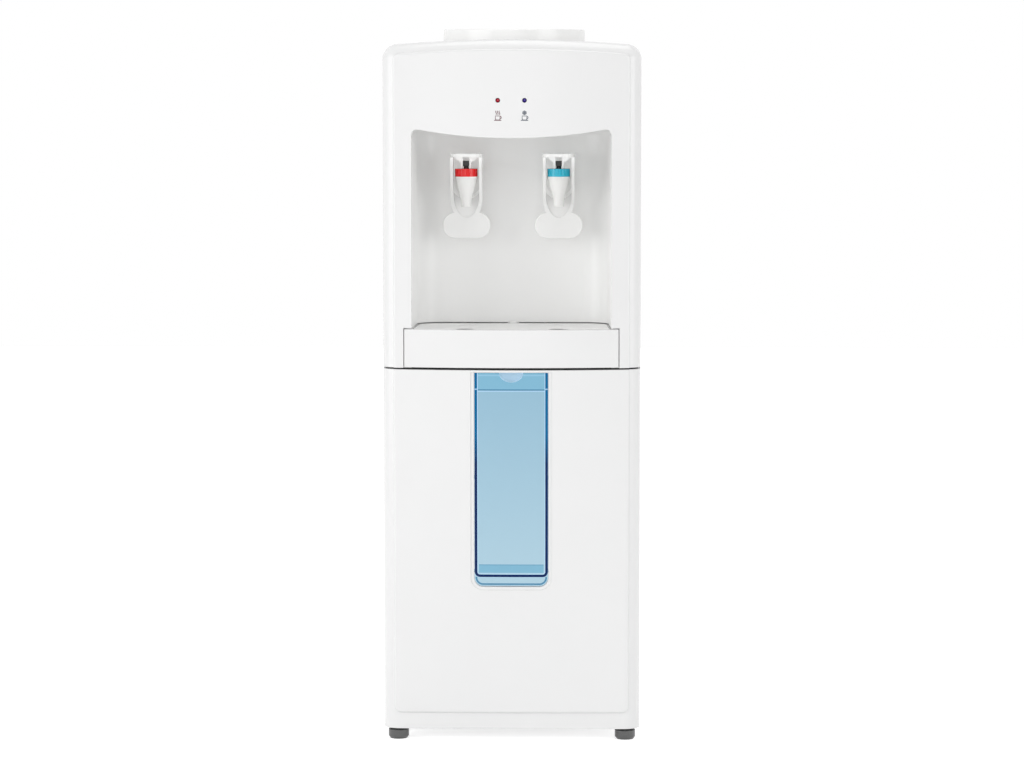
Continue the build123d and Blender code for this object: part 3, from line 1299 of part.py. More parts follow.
def tap_hoses():
    """Hoses from the two tanks up to the tap shanks."""
    barb_y = BAY_WALL_BACK_Y + NUT_THICK + FIT
    hot = hose([(-TAP_X, barb_y, SHANK_Z), (-TAP_X, HOSE_RUN_Y, SHANK_Z),
                (HOT_PORT_X, HOSE_RUN_Y, HOT_PORT_Z), (HOT_PORT_X, FOAM_FRONT_Y, HOT_PORT_Z)])
    cold = hose([(TAP_X, barb_y, SHANK_Z), (TAP_X, HOSE_RUN_Y, SHANK_Z),
                 (COLD_PORT_X, HOSE_RUN_Y, COLD_PORT_Z), (COLD_PORT_X, FOAM_FRONT_Y - FIT, COLD_PORT_Z)])
    return [hot, cold]


def hot_feed_hose():
    """Hose from the cold tank down to the hot tank."""
    side = HOT_X + HOT_R
    return hose([(FEED_X, FEED_Y, COLD_LOW_Z - FOAM - FIT), (FEED_X, FEED_Y, FEED_Z),
                 (side + FIT, FEED_Y, FEED_Z)])


def drain_tube():
    """Drain hose of the hot tank with its spigot through the back panel."""
    start = HOT_Y + HOT_R + FIT
    collar_y = SHEET_BACK_Y - SPIGOT_COLLAR
    tube = rod_y(HOSE_R, HOT_X, DRAIN_Z, start, collar_y)
    tube += rod_y(SPIGOT_COLLAR_R, HOT_X, DRAIN_Z, collar_y, SHEET_BACK_Y)
    tube += rod_y(SPIGOT_R, HOT_X, DRAIN_Z, collar_y, SPIGOT_END_Y)
    return tube - rod_y(HOSE_BORE_R, HOT_X, DRAIN_Z, start - OVER, SPIGOT_END_Y + OVER)


def drain_plug():
    """Push-on cap of the drain spigot with finger grips."""
    cap = rod_y(PLUG_R, HOT_X, DRAIN_Z, BACK_Y + FIT, PLUG_BACK_Y)
    cap -= rod_y(SPIGOT_R + RUN_FIT, HOT_X, DRAIN_Z, BACK_Y, PLUG_BACK_Y - PLUG_ROOF)
    grip = rod_y(PLUG_GRIP_R, PLUG_R, 0, BACK_Y - OVER, PLUG_BACK_Y + OVER)
    at = Pos(HOT_X, 0, DRAIN_Z)
    return cap - [at * Rot(0, 360 * i / PLUG_GRIPS, 0) * grip for i in range(PLUG_GRIPS)]


# Back fittings and wiring

def rear_grille():
    """Moulded guard over the fan vent, slotted across."""
    w = GUARD_W / 2
    guard = block(-w, w, BACK_Y, BACK_Y + GUARD_THICK, COOLER_Z - w, COOLER_Z + w)
    guard = fillet(guard.edges().filter_by(Axis.Y), GUARD_CORNER_R)
    middle = (GUARD_SLOTS - 1) / 2
    for i in range(GUARD_SLOTS):
        z = COOLER_Z + GUARD_SLOT_PITCH * (i - middle)
        reach = w - GUARD_RIM
        guard -= block(-reach, reach, BACK_Y - OVER, BACK_Y + GUARD_THICK + OVER,
                       z - GUARD_SLOT_W / 2, z + GUARD_SLOT_W / 2)
    return guard


def switch_housing(z):
    """Rocker switch body with its rim, open for the rocker."""
    w = SWITCH_W / 2
    h = SWITCH_H / 2
    y0 = BACK_Y - SWITCH_DEPTH
    y1 = BACK_Y + SWITCH_RIM_THICK
    body = block(SWITCH_X - w, SWITCH_X + w, y0, y1, z - h, z + h)
    body += block(SWITCH_X - w - SWITCH_RIM, SWITCH_X + w + SWITCH_RIM, BACK_Y, y1,
                  z - h - SWITCH_RIM, z + h + SWITCH_RIM)
    in_w = w - SWITCH_WALL
    in_h = h - SWITCH_WALL
    body -= block(SWITCH_X - in_w, SWITCH_X + in_w, BACK_Y - SWITCH_DEPTH / 2, y1 + OVER,
                  z - in_h, z + in_h)
    return body + mirror_about(SWITCH_X, rod_x(ROCKER_AXLE_R, rocker_y(), z,
                                               SWITCH_X + ROCKER_W / 2 - SWITCH_WALL, SWITCH_X + w))


def rocker_y():
    """How deep the rockers' axles lie."""
    return BACK_Y + SWITCH_RIM_THICK - ROCKER_BACK


def mirror_about(x, shape):
    """The shape and its mirror image across an upright plane at x."""
    return [shape, mirror(shape, Plane.YZ.offset(x))]


def switch_housings():
    """Bodies of the two rocker switches."""
    return [switch_housing(SWITCH_COLD_Z), switch_housing(SWITCH_HOT_Z)]


def rocker(z):
    """Switch rocker at its lower stop: two faces that meet in a shallow V."""
    with BuildSketch(Plane.YZ) as side:
        with BuildLine():
            Polyline((-ROCKER_BACK, -ROCKER_HALF_H / 2), (0, -ROCKER_HALF_H), (ROCKER_FACE, -ROCKER_HALF_H),
                     (ROCKER_FACE - ROCKER_DIP, 0), (ROCKER_FACE, ROCKER_HALF_H), (0, ROCKER_HALF_H),
                     (-ROCKER_BACK, ROCKER_HALF_H / 2), close=True)
        make_face()
    key = extrude(side.sketch, ROCKER_W / 2, both=True)
    key -= rod_x(ROCKER_AXLE_R + RUN_FIT, 0, 0, -ROCKER_W, ROCKER_W)
    return Pos(SWITCH_X, rocker_y(), z) * Rot(-ROCKER_SWING, 0, 0) * key


def cord_gland():
    """Cord bushing with its rim and tapered nose."""
    end = BACK_Y + GLAND_RIM
    points = [(GLAND_BORE_R, BACK_Y - GLAND_LENGTH), (GLAND_R, BACK_Y - GLAND_LENGTH), (GLAND_R, BACK_Y),
              (GLAND_RIM_R, BACK_Y), (GLAND_RIM_R, end), (GLAND_R, end),
              (GLAND_BORE_R + WALL, end + GLAND_NOSE), (GLAND_BORE_R, end + GLAND_NOSE)]
    return Pos(GLAND_X, 0, GLAND_Z) * Rot(-90, 0, 0) * turned(points)


def power_supply():
    """Supply box on the floor pan, slotted along its top."""
    z0 = BASE_Z + BASE_THICK
    z1 = z0 + SUPPLY_H
    box = block(-SUPPLY_HALF, SUPPLY_HALF, SUPPLY_FRONT_Y, SUPPLY_BACK_Y, z0, z1)
    wall = SUPPLY_WALL
    box -= block(-SUPPLY_HALF + wall, SUPPLY_HALF - wall, SUPPLY_FRONT_Y + wall, SUPPLY_BACK_Y - wall,
                 z0 + wall, z1 - wall)
    middle = (SUPPLY_SLOTS - 1) / 2
    for i in range(SUPPLY_SLOTS):
        x = SUPPLY_SLOT_PITCH * (i - middle)
        box -= block(x, x + SUPPLY_SLOT_W, SUPPLY_FRONT_Y + SUPPLY_SLOT_PITCH,
                     SUPPLY_BACK_Y - SUPPLY_SLOT_PITCH, z1 - wall - FIT, z1 + OVER)
    return box


def lamp(x):
    """Indicator lamp: domed lens with a rim behind the fascia."""
    dome_y = FRONT_Y + LAMP_SINK + LAMP_R
    back = FRONT_Y + WALL + LAMP_LENGTH
    rim_y = FRONT_Y + WALL + FIT
    lens = Pos(x, dome_y, LAMP_Z) * Sphere(LAMP_R)
    lens += rod_y(LAMP_R, x, LAMP_Z, dome_y, back)
    return lens + rod_y(LAMP_RIM_R, x, LAMP_Z, rim_y, rim_y + LAMP_RIM)


def indicator_board():
    """Small circuit board that carries the lamps."""
    y0 = FRONT_Y + WALL + LAMP_LENGTH
    z = BOARD_H / 2
    return block(-BOARD_HALF, BOARD_HALF, y0, y0 + BOARD_THICK, LAMP_Z - z, LAMP_Z + z)


def nodes():
    """Every piece of the cooler by its name."""
    right = side_panel()
    pieces = {
        "upper_fascia": upper_fascia(), "tap_bay": tap_bay(), "lower_fascia": lower_fascia(),
        "top_cover": top_cover(), "bottle_collar": bottle_collar(), "bottle_probe": bottle_probe(),
        "side_panel_right": right, "side_panel_left": mirror(right, Plane.YZ),
        "back_panel": back_panel(), "back_panel_screws": back_panel_screws(),
        "base_pan": base_pan(), "mid_deck": mid_deck(), "seam_gasket": seam_gasket(),
        "drip_tray": drip_tray(), "drip_grille": drip_grille(),
        "cup_bin": cup_bin(), "bin_well": bin_well(), "tap_nuts": tap_nuts(),
        "cold_tank": cold_tank(), "cold_tank_foam": cold_tank_foam(),
        "cooling_module": cooling_module(), "heat_sink": heat_sink(),
        "fan_frame": fan_frame(), "fan_rotor": fan_rotor(), "rear_grille": rear_grille(),
        "hot_tank": hot_tank(), "heater_band": heater_band(), "thermostats": thermostats(),
        "tap_hoses": tap_hoses(), "hot_feed_hose": hot_feed_hose(),
        "drain_tube": drain_tube(), "drain_plug": drain_plug(),
        "switch_housings": switch_housings(), "cold_rocker": rocker(SWITCH_COLD_Z),
        "hot_rocker": rocker(SWITCH_HOT_Z), "cord_gland": cord_gland(),
        "power_supply": power_supply(), "indicator_board": indicator_board(),
        "red_lamp": lamp(-LAMP_X), "blue_lamp": lamp(LAMP_X),
    }
    for name, x in (("hot", -TAP_X), ("cold", TAP_X)):
        for piece, make in (("body", tap_body), ("ring", tap_ring), ("stem", tap_stem),
                            ("seal", tap_seal), ("spring", tap_spring), ("lever", tap_lever),
                            ("pin", tap_pin)):
            pieces[f"{name}_tap_{piece}"] = at_tap(x, make())
    for name, (x, y) in foot_places().items():
        pieces[f"foot_{name}"] = foot(x, y)
    return pieces


os.makedirs("parts", exist_ok=True)
for node, shape in nodes().items():
    solid = Compound(shape) if isinstance(shape, list) else shape
    export_step(solid, f"parts/{node}.step")
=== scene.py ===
from math import cos, radians, sin, tau

import bmesh
import bpy
from bpy.props import FloatProperty, FloatVectorProperty, PointerProperty
from bpy.types import Operator, Panel, PropertyGroup
from mathutils import Matrix, Vector
from mathutils.bvhtree import BVHTree


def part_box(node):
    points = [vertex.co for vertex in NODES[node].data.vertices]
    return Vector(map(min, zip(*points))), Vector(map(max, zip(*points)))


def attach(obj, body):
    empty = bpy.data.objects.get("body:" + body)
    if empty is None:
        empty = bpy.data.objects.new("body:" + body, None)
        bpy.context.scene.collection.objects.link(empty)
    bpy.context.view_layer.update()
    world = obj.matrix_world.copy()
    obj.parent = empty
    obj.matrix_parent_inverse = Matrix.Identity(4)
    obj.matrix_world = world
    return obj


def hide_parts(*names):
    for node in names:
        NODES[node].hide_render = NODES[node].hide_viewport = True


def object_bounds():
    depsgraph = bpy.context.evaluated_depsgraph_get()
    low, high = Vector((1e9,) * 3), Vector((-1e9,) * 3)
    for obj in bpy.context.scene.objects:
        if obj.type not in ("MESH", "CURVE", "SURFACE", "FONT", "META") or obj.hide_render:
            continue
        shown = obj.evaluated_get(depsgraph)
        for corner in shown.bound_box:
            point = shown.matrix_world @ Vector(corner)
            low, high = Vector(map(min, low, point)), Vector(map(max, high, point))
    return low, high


bl_info = {
    "name": "Water Cooler Dresser",
    "version": (1, 0, 0),
    "blender": (4, 5, 0),
    "location": "3D View > Sidebar > Cooler",
    "description": "Gives a water cooler its finishes, printed signs, small fittings and stage",
    "category": "Object",
}

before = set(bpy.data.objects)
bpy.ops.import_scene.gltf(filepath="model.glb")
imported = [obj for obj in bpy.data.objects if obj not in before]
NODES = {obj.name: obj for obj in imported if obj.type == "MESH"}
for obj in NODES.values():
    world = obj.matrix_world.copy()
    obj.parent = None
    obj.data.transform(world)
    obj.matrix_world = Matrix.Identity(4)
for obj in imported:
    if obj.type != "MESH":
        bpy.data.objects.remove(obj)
CAD_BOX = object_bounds()

MM = 0.001


def chart(red, green, blue):
    """A linear colour from its values on a 0 to 255 paint chart."""
    return tuple(((value / 255 + 0.055) / 1.055) ** 2.4 for value in (red, green, blue))


# Sizes and colours that a user may change

def paint(name, description, value):
    """A colour that a user may change."""
    return FloatVectorProperty(name=name, description=description, subtype="COLOR", size=3,
                               min=0.0, max=1.0, default=value)


def length(name, description, value):
    """A length in metres that a user may change."""
    return FloatProperty(name=name, description=description, subtype="DISTANCE", unit="LENGTH",
                         min=0.0, precision=5, default=value)


class CoolerColours(PropertyGroup):
    """Colours of the cooler's mouldings, sheet metal and insides."""
    shell: paint("Shell", "White of the two front mouldings, the top cover and the drip tray",
                 chart(235, 235, 235))
    # Painted light: the bay's white is the shell's plastic made lighter to offset the shade in the
    # bay; the bottle seat, the liner and the drain plug share it.
    bay: paint("Bay", "White of the tap bay, the bottle seat and the bin's liner",
               chart(247, 247, 246))
    grille: paint("Grille", "White of the drip grille", chart(251, 251, 250))
    sheet: paint("Sheet", "White powder coat of the sheet steel body", chart(238, 238, 239))
    bin_high: paint("Bin, upper part", "Blue of the bin's pane near its top", chart(149, 187, 208))
    bin_low: paint("Bin, lower part", "Blue of the bin's pane near its floor", chart(178, 208, 223))
    bin_edge_high: paint("Bin wall, upper part", "Blue of the wall seen end on, near the top",
                         chart(8, 100, 150))
    bin_edge_low: paint("Bin wall, lower part", "Blue of the wall seen end on, near the floor",
                        chart(0, 36, 88))
    bin_band: paint("Bin bands", "Blue of the grip band and of the band over the floor",
                    chart(130, 183, 209))
    bin_gleam: paint("Bin gleam", "Pale blue that runs beside the walls' ends",
                     chart(186, 222, 250))
    bin_rim: paint("Bin rim", "Blue of the rounded lower rim and of the grip's line",
                   chart(84, 138, 172))
    lever: paint("Levers", "Milky white of the tap levers", chart(253, 253, 252))
    spout: paint("Spouts", "White of the tap bodies and their nuts", chart(236, 236, 234))
    hot: paint("Hot", "Red of the hot tap's ring and switch", chart(226, 0, 12))
    cold: paint("Cold", "Blue of the cold tap's ring", chart(28, 178, 204))
    black: paint("Black", "Black mouldings", chart(28, 28, 29))
    foot: paint("Feet", "Glossy black of the feet", chart(20, 20, 21))
    rubber: paint("Rubber", "Black rubber", chart(24, 24, 25))
    steel: paint("Steel", "Plain steel of tanks and screws", chart(200, 200, 198))
    aluminium: paint("Aluminium", "Extruded aluminium of the heat sink", chart(222, 222, 224))
    ceramic: paint("Ceramic", "White ceramic of the cooling module", chart(228, 228, 222))
    foam: paint("Foam", "Rigid foam round the cold tank", chart(228, 220, 196))
    hose: paint("Hoses", "Milky silicone", chart(222, 224, 222))
    board: paint("Circuit board", "Green lacquer of the lamp board", chart(40, 104, 62))
    red_lamp: paint("Red lamp", "Clear red lens", chart(150, 0, 34))
    blue_lamp: paint("Blue lamp", "Clear blue lens", chart(40, 18, 112))
    hot_print: paint("Hot sign", "Ink of the hot sign", chart(112, 80, 84))
    cold_print: paint("Cold sign", "Ink of the cold sign", chart(76, 86, 98))


class CoolerSizes(PropertyGroup):
    """Sizes of the small fittings and of the printed signs."""
    sign_drop: length("Sign drop", "From a lamp's middle down to the middle of its sign", 0.0186)
    cup_width: length("Cup width", "Width of a sign's cup", 0.0066)
    print_line: length("Print line", "Width of a sign's lines", 0.00095)
    print_proud: length("Print thickness", "How far the ink stands proud", 0.00004)
    lamp_ring: length("Lamp ring", "Outer radius of the ring moulded round a lamp", 0.0043)
    lamp_ring_proud: length("Lamp ring height", "How far the ring stands proud", 0.00012)
    recess: length("Screw recess", "Length of a screw's cross recess", 0.0042)
    recess_slot: length("Screw recess slot", "Width of a screw's cross recess", 0.0009)
    recess_depth: length("Screw recess depth", "Depth of a screw's cross recess", 0.0011)
    edge_round: length("Edge rounding", "Radius that a moulding's edges catch the light with",
                       0.0006)


class CoolerStage(PropertyGroup):
    """Where the camera stands, and the lights."""
    distance: length("Camera distance", "From the camera to the cooler's middle, on the floor", 4.5)
    height: length("Camera height", "Height of the camera over the floor", 0.815)
    pitch: FloatProperty(name="Camera pitch", description="How far the camera looks down",
                         subtype="ANGLE", unit="ROTATION", default=radians(5.0))
    yaw: FloatProperty(name="Camera yaw", description="How far the camera stands to the right",
                       subtype="ANGLE", unit="ROTATION", default=radians(1.3))
    lens: FloatProperty(name="Focal length", description="Focal length on a 36 mm sensor, in mm",
                        min=10.0, default=128.3)
    shift: FloatProperty(name="Camera shift", description="Sideways shift of the frame",
                         default=-0.002)
    floor: length("Floor", "Width of the floor", 12.0)
    key: FloatProperty(name="Key light", description="Power of the large light at the left",
                       unit="POWER", min=0.0, default=50.0)
    front: FloatProperty(name="Front light", description="Power of the large light in front",
                         unit="POWER", min=0.0, default=17.0)
    fill: FloatProperty(name="Fill light", description="Power of the weak light at the right",
                        unit="POWER", min=0.0, default=20.0)
    top: FloatProperty(name="Top light", description="Power of the light overhead",
                       unit="POWER", min=0.0, default=15.0)
    ambient: FloatProperty(name="Ambient", description="Strength of the even light all round",
                           min=0.0, default=0.53)


# Shader nodes

class Wire:
    """A socket in a material's tree. Arithmetic on it adds Math nodes."""

    def __init__(self, finish, socket):
        self.finish = finish
        self.socket = socket

    def math(self, operation, *values):
        """One Math node of the tree that this socket is in."""
        return self.finish.math(operation, *values)

    def __add__(self, other):
        return self.math("ADD", self, other)

    def __radd__(self, other):
        return self.math("ADD", other, self)

    def __sub__(self, other):
        return self.math("SUBTRACT", self, other)

    def __rsub__(self, other):
        return self.math("SUBTRACT", other, self)

    def __mul__(self, other):
        return self.math("MULTIPLY", self, other)

    def __rmul__(self, other):
        return self.math("MULTIPLY", other, self)

    def __abs__(self):
        return self.math("ABSOLUTE", self)

    def __gt__(self, other):
        return self.math("GREATER_THAN", self, other)

    def __lt__(self, other):
        return self.math("LESS_THAN", self, other)


class Finish:
    """A material or world under construction: its tree, and the nodes that the finishes use."""

    def __init__(self, name, kind="materials"):
        self.owner = getattr(bpy.data, kind).new(name)
        self.owner.use_nodes = True
        self.tree = self.owner.node_tree
        self.tree.nodes.clear()
        self.object_place = None

    @property
    def place(self):
        """The place on the object, in metres."""
        if self.object_place is None:
            self.object_place = self.add("ShaderNodeTexCoord", output="Object")
        return self.object_place

    def add(self, kind, settings=None, inputs=None, output=0):
        """A node of a kind, with its settings set first and then its sockets' values or links."""
        node = self.tree.nodes.new(kind)
        for key, value in (settings or {}).items():
            setattr(node, key, value)
        for key, value in (inputs or {}).items():
            if isinstance(value, Wire):
                self.tree.links.new(value.socket, node.inputs[key])
            else:
                node.inputs[key].default_value = value
        return Wire(self, node.outputs[output])

    def math(self, operation, *values):
        """One Math node over values and sockets."""
        return self.add("ShaderNodeMath", {"operation": operation}, dict(enumerate(values)))

    def noise(self, scale, detail=2.0, stretch=None):
        """Noise from 0 to 1 with features of about 1/scale metres."""
        place = self.place
        if stretch:
            place = self.add("ShaderNodeMapping", None, {"Vector": place, "Scale": stretch})
        return self.add("ShaderNodeTexNoise", None,
                        {"Vector": place, "Scale": scale, "Detail": detail})

    def ease(self, value, start, end):
        """0 up to a start, 1 from an end, and even in between."""
        return self.add("ShaderNodeMapRange", None,
                        {"Value": value, "From Min": start, "From Max": end})

    def axis(self, letter):
        """One coordinate of the place on the object, in metres."""
        return self.add("ShaderNodeSeparateXYZ", None, {"Vector": self.place}, output=letter)

    def blend(self, factor, first, second):
        """A mix of two colours."""
        inputs = {0: factor, 6: opaque(first), 7: opaque(second)}
        return self.add("ShaderNodeMix", {"data_type": "RGBA"}, inputs, output=2)

    def bump(self, height, distance, edge=0.0):
        """A normal from a height in shares of a distance, with edges softened over a radius."""
        inputs = {"Height": height, "Distance": distance}
        if edge:
            inputs["Normal"] = self.add("ShaderNodeBevel", {"samples": 4}, {"Radius": edge})
        return self.add("ShaderNodeBump", None, inputs)

    def surface(self, **sockets):
        """The main shader, given by socket name with underscores for spaces."""
        inputs = {key.replace("_", " "): opaque(value) for key, value in sockets.items()}
        return self.add("ShaderNodeBsdfPrincipled", None, inputs)

    def done(self, shader, output="ShaderNodeOutputMaterial"):
        """Joins the shader to the output and gives back the material or world."""
        end = self.tree.nodes.new(output)
        self.tree.links.new(shader.socket, end.inputs["Surface"])
        return self.owner


def opaque(value):
    """A colour with its alpha; any other value stays as it is."""
    if isinstance(value, (Wire, int, float)) or len(value) != 3:
        return value
    return (*value, 1.0)


# Finishes

# Roughness of the plastics
GLOSSY = 0.22
SATIN = 0.33
MATT = 0.4

# Radii that the edges of small mouldings catch the light with
SMALL_EDGE = 0.4 * MM
FINE_EDGE = 0.3 * MM


def darker(shade, share):
    """A share of a colour."""
    return [value * share for value in shade]


def about(middle, field, spread):
    """A value that wanders round its middle with a noise field, over a spread."""
    return middle + (field - 0.5) * spread


def moulding(name, shade, roughness, edge=0.0, **sockets):
    """Glossy moulded plastic: cloudy by a hair, with a faint orange peel. Sockets are extra ones
    of the shader, set to constants."""
    finish = Finish(name)
    cloud = finish.noise(scale=14.0, detail=3.0)
    peel = finish.noise(scale=420.0)
    base = finish.blend(cloud, darker(shade, 0.975), shade)
    return finish.done(finish.surface(
        Base_Color=base, Roughness=about(roughness, cloud, 0.08),
        Normal=finish.bump(peel, 0.03 * MM, edge), **sockets))


def powder_coat(name, shade):
    """Powder-coated sheet steel with a fine hammered texture."""
    finish = Finish(name)
    pits = finish.noise(scale=900.0, detail=4.0)
    cloud = finish.noise(scale=9.0, detail=3.0)
    base = finish.blend(cloud, darker(shade, 0.97), shade)
    return finish.done(finish.surface(
        Base_Color=base, Roughness=about(0.42, pits, 0.14), IOR=1.5,
        Normal=finish.bump(pits, 0.06 * MM)))


# Places on the bin's pane. Heights go up from its foot and drops go down from its top. The lines
# and gleams of the rim and the wall are given by their distances outside a rounded U.
PANE_HALF = 44.1 * MM
GRIP_DROP = 20 * MM
GRIP_GLEAM_DROPS = (22.8 * MM, 21.2 * MM)
GRIP_LINE_DROPS = (21.2 * MM, 19.6 * MM)
TOP_GLEAM_DROPS = (3.8 * MM, 2.2 * MM)
FLOOR_BAND = (16 * MM, 26.2 * MM)
FLOOR_BAND_EDGE = (25 * MM, 26.2 * MM)
FLOOR_BAND_HALF = 38.9 * MM
RIM_CORNER = 10.2 * MM
RIM_TOP = 11 * MM
RIM_LINE = (-3.2 * MM, -1.2 * MM)
WALL_INSET = 1.9 * MM
WALL_FLOOR = 12.5 * MM
WALL_CORNER = 4.5 * MM
WALL_GLEAM = (-2.3 * MM, 2.3 * MM)
WALL_LINE = (-1.4 * MM, 1.75 * MM)
WALL_GAP_DROPS = (20.4 * MM, 18.8 * MM)
WALL_FADE = (148 * MM, 184 * MM)
SCOOP_DEPTH = 1.2 * MM
SCOOP_DROP = 14 * MM
SCOOP_HALF = 15 * MM
# The scoop's pale colour and faint glow are painted light that brightens the shade in its hollow.
SCOOP_PAINTED_LIGHT = (0.64, 0.75, 0.88)
SCOOP_PAINTED_GLOW = (0.07, 0.12, 0.13)


def bin_plastic(name, colours, box):
    """Clear blue moulding. The bucket's walls and floor show navy where the pane covers their
    ends. The finger scoop has painted light: a pale colour and a faint glow that brighten the
    shade in its hollow."""
    finish = Finish(name)
    low, high = box
    side = abs(finish.axis("X"))
    height = finish.axis("Z") - low.z
    top = high.z - low.z

    def dropped(drops):
        """1 between two drops from the top."""
        return band(height, top - drops[0], top - drops[1])

    cloud = finish.noise(scale=11.0, detail=3.0)
    pane = finish.blend(height * (1 / top), colours.bin_low, colours.bin_high)
    pane = finish.blend(cloud * 0.08, pane, colours.bin_band)
    base = finish.blend(height > top - GRIP_DROP, pane, colours.bin_band)
    base = finish.blend(dropped(GRIP_GLEAM_DROPS) * 0.5, base, colours.bin_gleam)
    base = finish.blend(dropped(GRIP_LINE_DROPS), base, colours.bin_rim)
    base = finish.blend(dropped(TOP_GLEAM_DROPS) * 0.25, base, colours.bin_gleam)
    over_floor = band(height, *FLOOR_BAND) * (side < FLOOR_BAND_HALF)
    base = finish.blend(over_floor, base, colours.bin_band)
    base = finish.blend(band(height, *FLOOR_BAND_EDGE) * over_floor * 0.4, base, colours.bin_rim)
    rim = outside(finish, side, height, PANE_HALF, 0.0, RIM_CORNER)
    base = finish.blend(band(rim, *RIM_LINE) * (height < RIM_TOP), base, colours.bin_rim)
    wall = outside(finish, side, height, PANE_HALF - WALL_INSET, WALL_FLOOR, WALL_CORNER)
    base = finish.blend(band(wall, *WALL_GLEAM) * 0.85, base, colours.bin_gleam)
    navy = finish.blend(finish.ease(height, *WALL_FADE), colours.bin_edge_low,
                        colours.bin_edge_high)
    line = band(wall, *WALL_LINE) * (1 - dropped(WALL_GAP_DROPS) * 0.7)
    base = finish.blend(line, base, navy)
    # Painted light: the scoop's hollow gets a pale colour and a faint glow against its shade.
    scoop = ((finish.axis("Y") > low.y + SCOOP_DEPTH) * (height > top - SCOOP_DROP)
             * (side < SCOOP_HALF))
    base = finish.blend(scoop, base, SCOOP_PAINTED_LIGHT)
    painted_glow = finish.blend(scoop, (0.0, 0.0, 0.0), SCOOP_PAINTED_GLOW)
    return finish.done(finish.surface(
        Base_Color=base, Roughness=about(0.16, cloud, 0.06), IOR=1.22,
        Emission_Color=painted_glow, Emission_Strength=1.0,
        Normal=finish.bump(finish.noise(scale=260.0), 0.02 * MM, SMALL_EDGE)))


def band(value, start, end):
    """1 between two values of a socket, and 0 outside them."""
    return (value > start) * (value < end)


def outside(finish, side, height, half, floor, corner):
    """Distance outside an upright U with rounded corners; inside it the distance is negative."""
    across = side - (half - corner)
    down = floor + corner - height
    turn = finish.math("MAXIMUM", across, 0.0)
    drop = finish.math("MAXIMUM", down, 0.0)
    inner = finish.math("MINIMUM", finish.math("MAXIMUM", across, down), 0.0)
    return finish.math("SQRT", turn * turn + drop * drop) + inner - corner


# The levers are white down to a drop from their top, fade about it, and are clearer below.
LEVER_WHITE_DROP = 12 * MM
LEVER_FADE = (-8 * MM, 6 * MM)
LEVER_CLEARNESS = 0.26


def milky(name, shade, split):
    """Milky moulding: solid white above a height, and thinner below it."""
    finish = Finish(name)
    cloud = finish.noise(scale=60.0, detail=3.0)
    thin = 1 - finish.ease(finish.axis("Z"), split + LEVER_FADE[0], split + LEVER_FADE[1])
    base = finish.blend(cloud * 0.3, shade, darker(shade, 0.9))
    return finish.done(finish.surface(
        Base_Color=base, Roughness=about(GLOSSY, cloud, 0.06), IOR=1.49,
        Alpha=1 - thin * LEVER_CLEARNESS,
        Normal=finish.bump(finish.noise(scale=380.0), 0.03 * MM, SMALL_EDGE)))


def brushed(name, shade, stretch, roughness=0.32):
    """Metal with fine lines that lie across the axis of the largest stretch."""
    finish = Finish(name)
    lines = finish.noise(scale=1.0, stretch=stretch)
    cloud = finish.noise(scale=16.0, detail=3.0)
    base = finish.blend(cloud, darker(shade, 0.88), shade)
    return finish.done(finish.surface(
        Base_Color=base, Metallic=1.0, Roughness=about(roughness, lines, 0.25),
        Normal=finish.bump(lines, 0.03 * MM)))


def rigid_foam(name, shade):
    """Foam with small open cells."""
    finish = Finish(name)
    cells = finish.add("ShaderNodeTexVoronoi", {"feature": "F1"},
                       {"Vector": finish.place, "Scale": 420.0})
    base = finish.blend(cells, darker(shade, 0.8), shade)
    return finish.done(finish.surface(Base_Color=base, Roughness=0.9,
                                      Normal=finish.bump(cells, 0.4 * MM)))


def soft_rubber(name, shade, roughness=0.6):
    """Rubber or silicone with a fine matt grain."""
    finish = Finish(name)
    grain = finish.noise(scale=700.0, detail=3.0)
    base = finish.blend(grain, darker(shade, 0.8), shade)
    return finish.done(finish.surface(Base_Color=base, Roughness=about(roughness, grain, 0.15),
                                      Normal=finish.bump(grain, 0.06 * MM)))


def circuit_lacquer(name, shade):
    """Green board with thin darker tracks in a square pattern."""
    finish = Finish(name)
    settings = {"offset": 0.5, "squash": 1.0}
    inputs = {"Vector": finish.place, "Scale": 160.0, "Mortar Size": 0.03,
              "Color1": opaque(shade), "Color2": opaque([value * 1.3 for value in shade]),
              "Mortar": opaque(darker(shade, 0.5))}
    tracks = finish.add("ShaderNodeTexBrick", settings, inputs)
    return finish.done(finish.surface(Base_Color=tracks,
                                      Roughness=0.35 + finish.noise(scale=90.0) * 0.1))


def lens(name, shade, middle_x, middle_z):
    """Coloured lamp lens with a painted glint: brighter near a spot just off its middle."""
    finish = Finish(name)
    spot_shift = 0.4 * MM
    across = finish.axis("X") - middle_x - spot_shift
    up = finish.axis("Z") - middle_z - spot_shift
    radius = finish.math("SQRT", across * across + up * up)
    # Painted glint: the lens's colour is brighter round this spot.
    glow = 1 - finish.ease(radius, 0.3 * MM, 1.3 * MM)
    bright = [min(value * 2.2 + 0.1, 1.0) for value in shade]
    base = finish.blend(glow * 0.75, shade, bright)
    return finish.done(finish.surface(
        Base_Color=base, Roughness=0.12 + finish.noise(scale=200.0) * 0.03, IOR=1.3))


def ink(name, shade):
    """Printed ink, a little uneven."""
    finish = Finish(name)
    speck = finish.noise(scale=1500.0)
    base = finish.blend(speck, shade, [value * 0.85 + 0.08 for value in shade])
    return finish.done(finish.surface(Base_Color=base, Roughness=about(0.5, speck, 0.2)))


def dress(material, *names):
    """Gives CAD nodes a finish through their objects' slots."""
    for name in names:
        for slot in NODES[name].material_slots:
            slot.link = "OBJECT"
            slot.material = material


# Making pieces

def piece(name, mesh, material, body):
    """A new piece of the cooler from a bmesh, on a body and with a material."""
    data = bpy.data.meshes.new(name)
    bmesh.ops.recalc_face_normals(mesh, faces=mesh.faces)
    mesh.to_mesh(data)
    mesh.free()
    obj = bpy.data.objects.new(name, data)
    bpy.context.scene.collection.objects.link(obj)
    data.materials.append(material)
    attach(obj, body)
    return obj


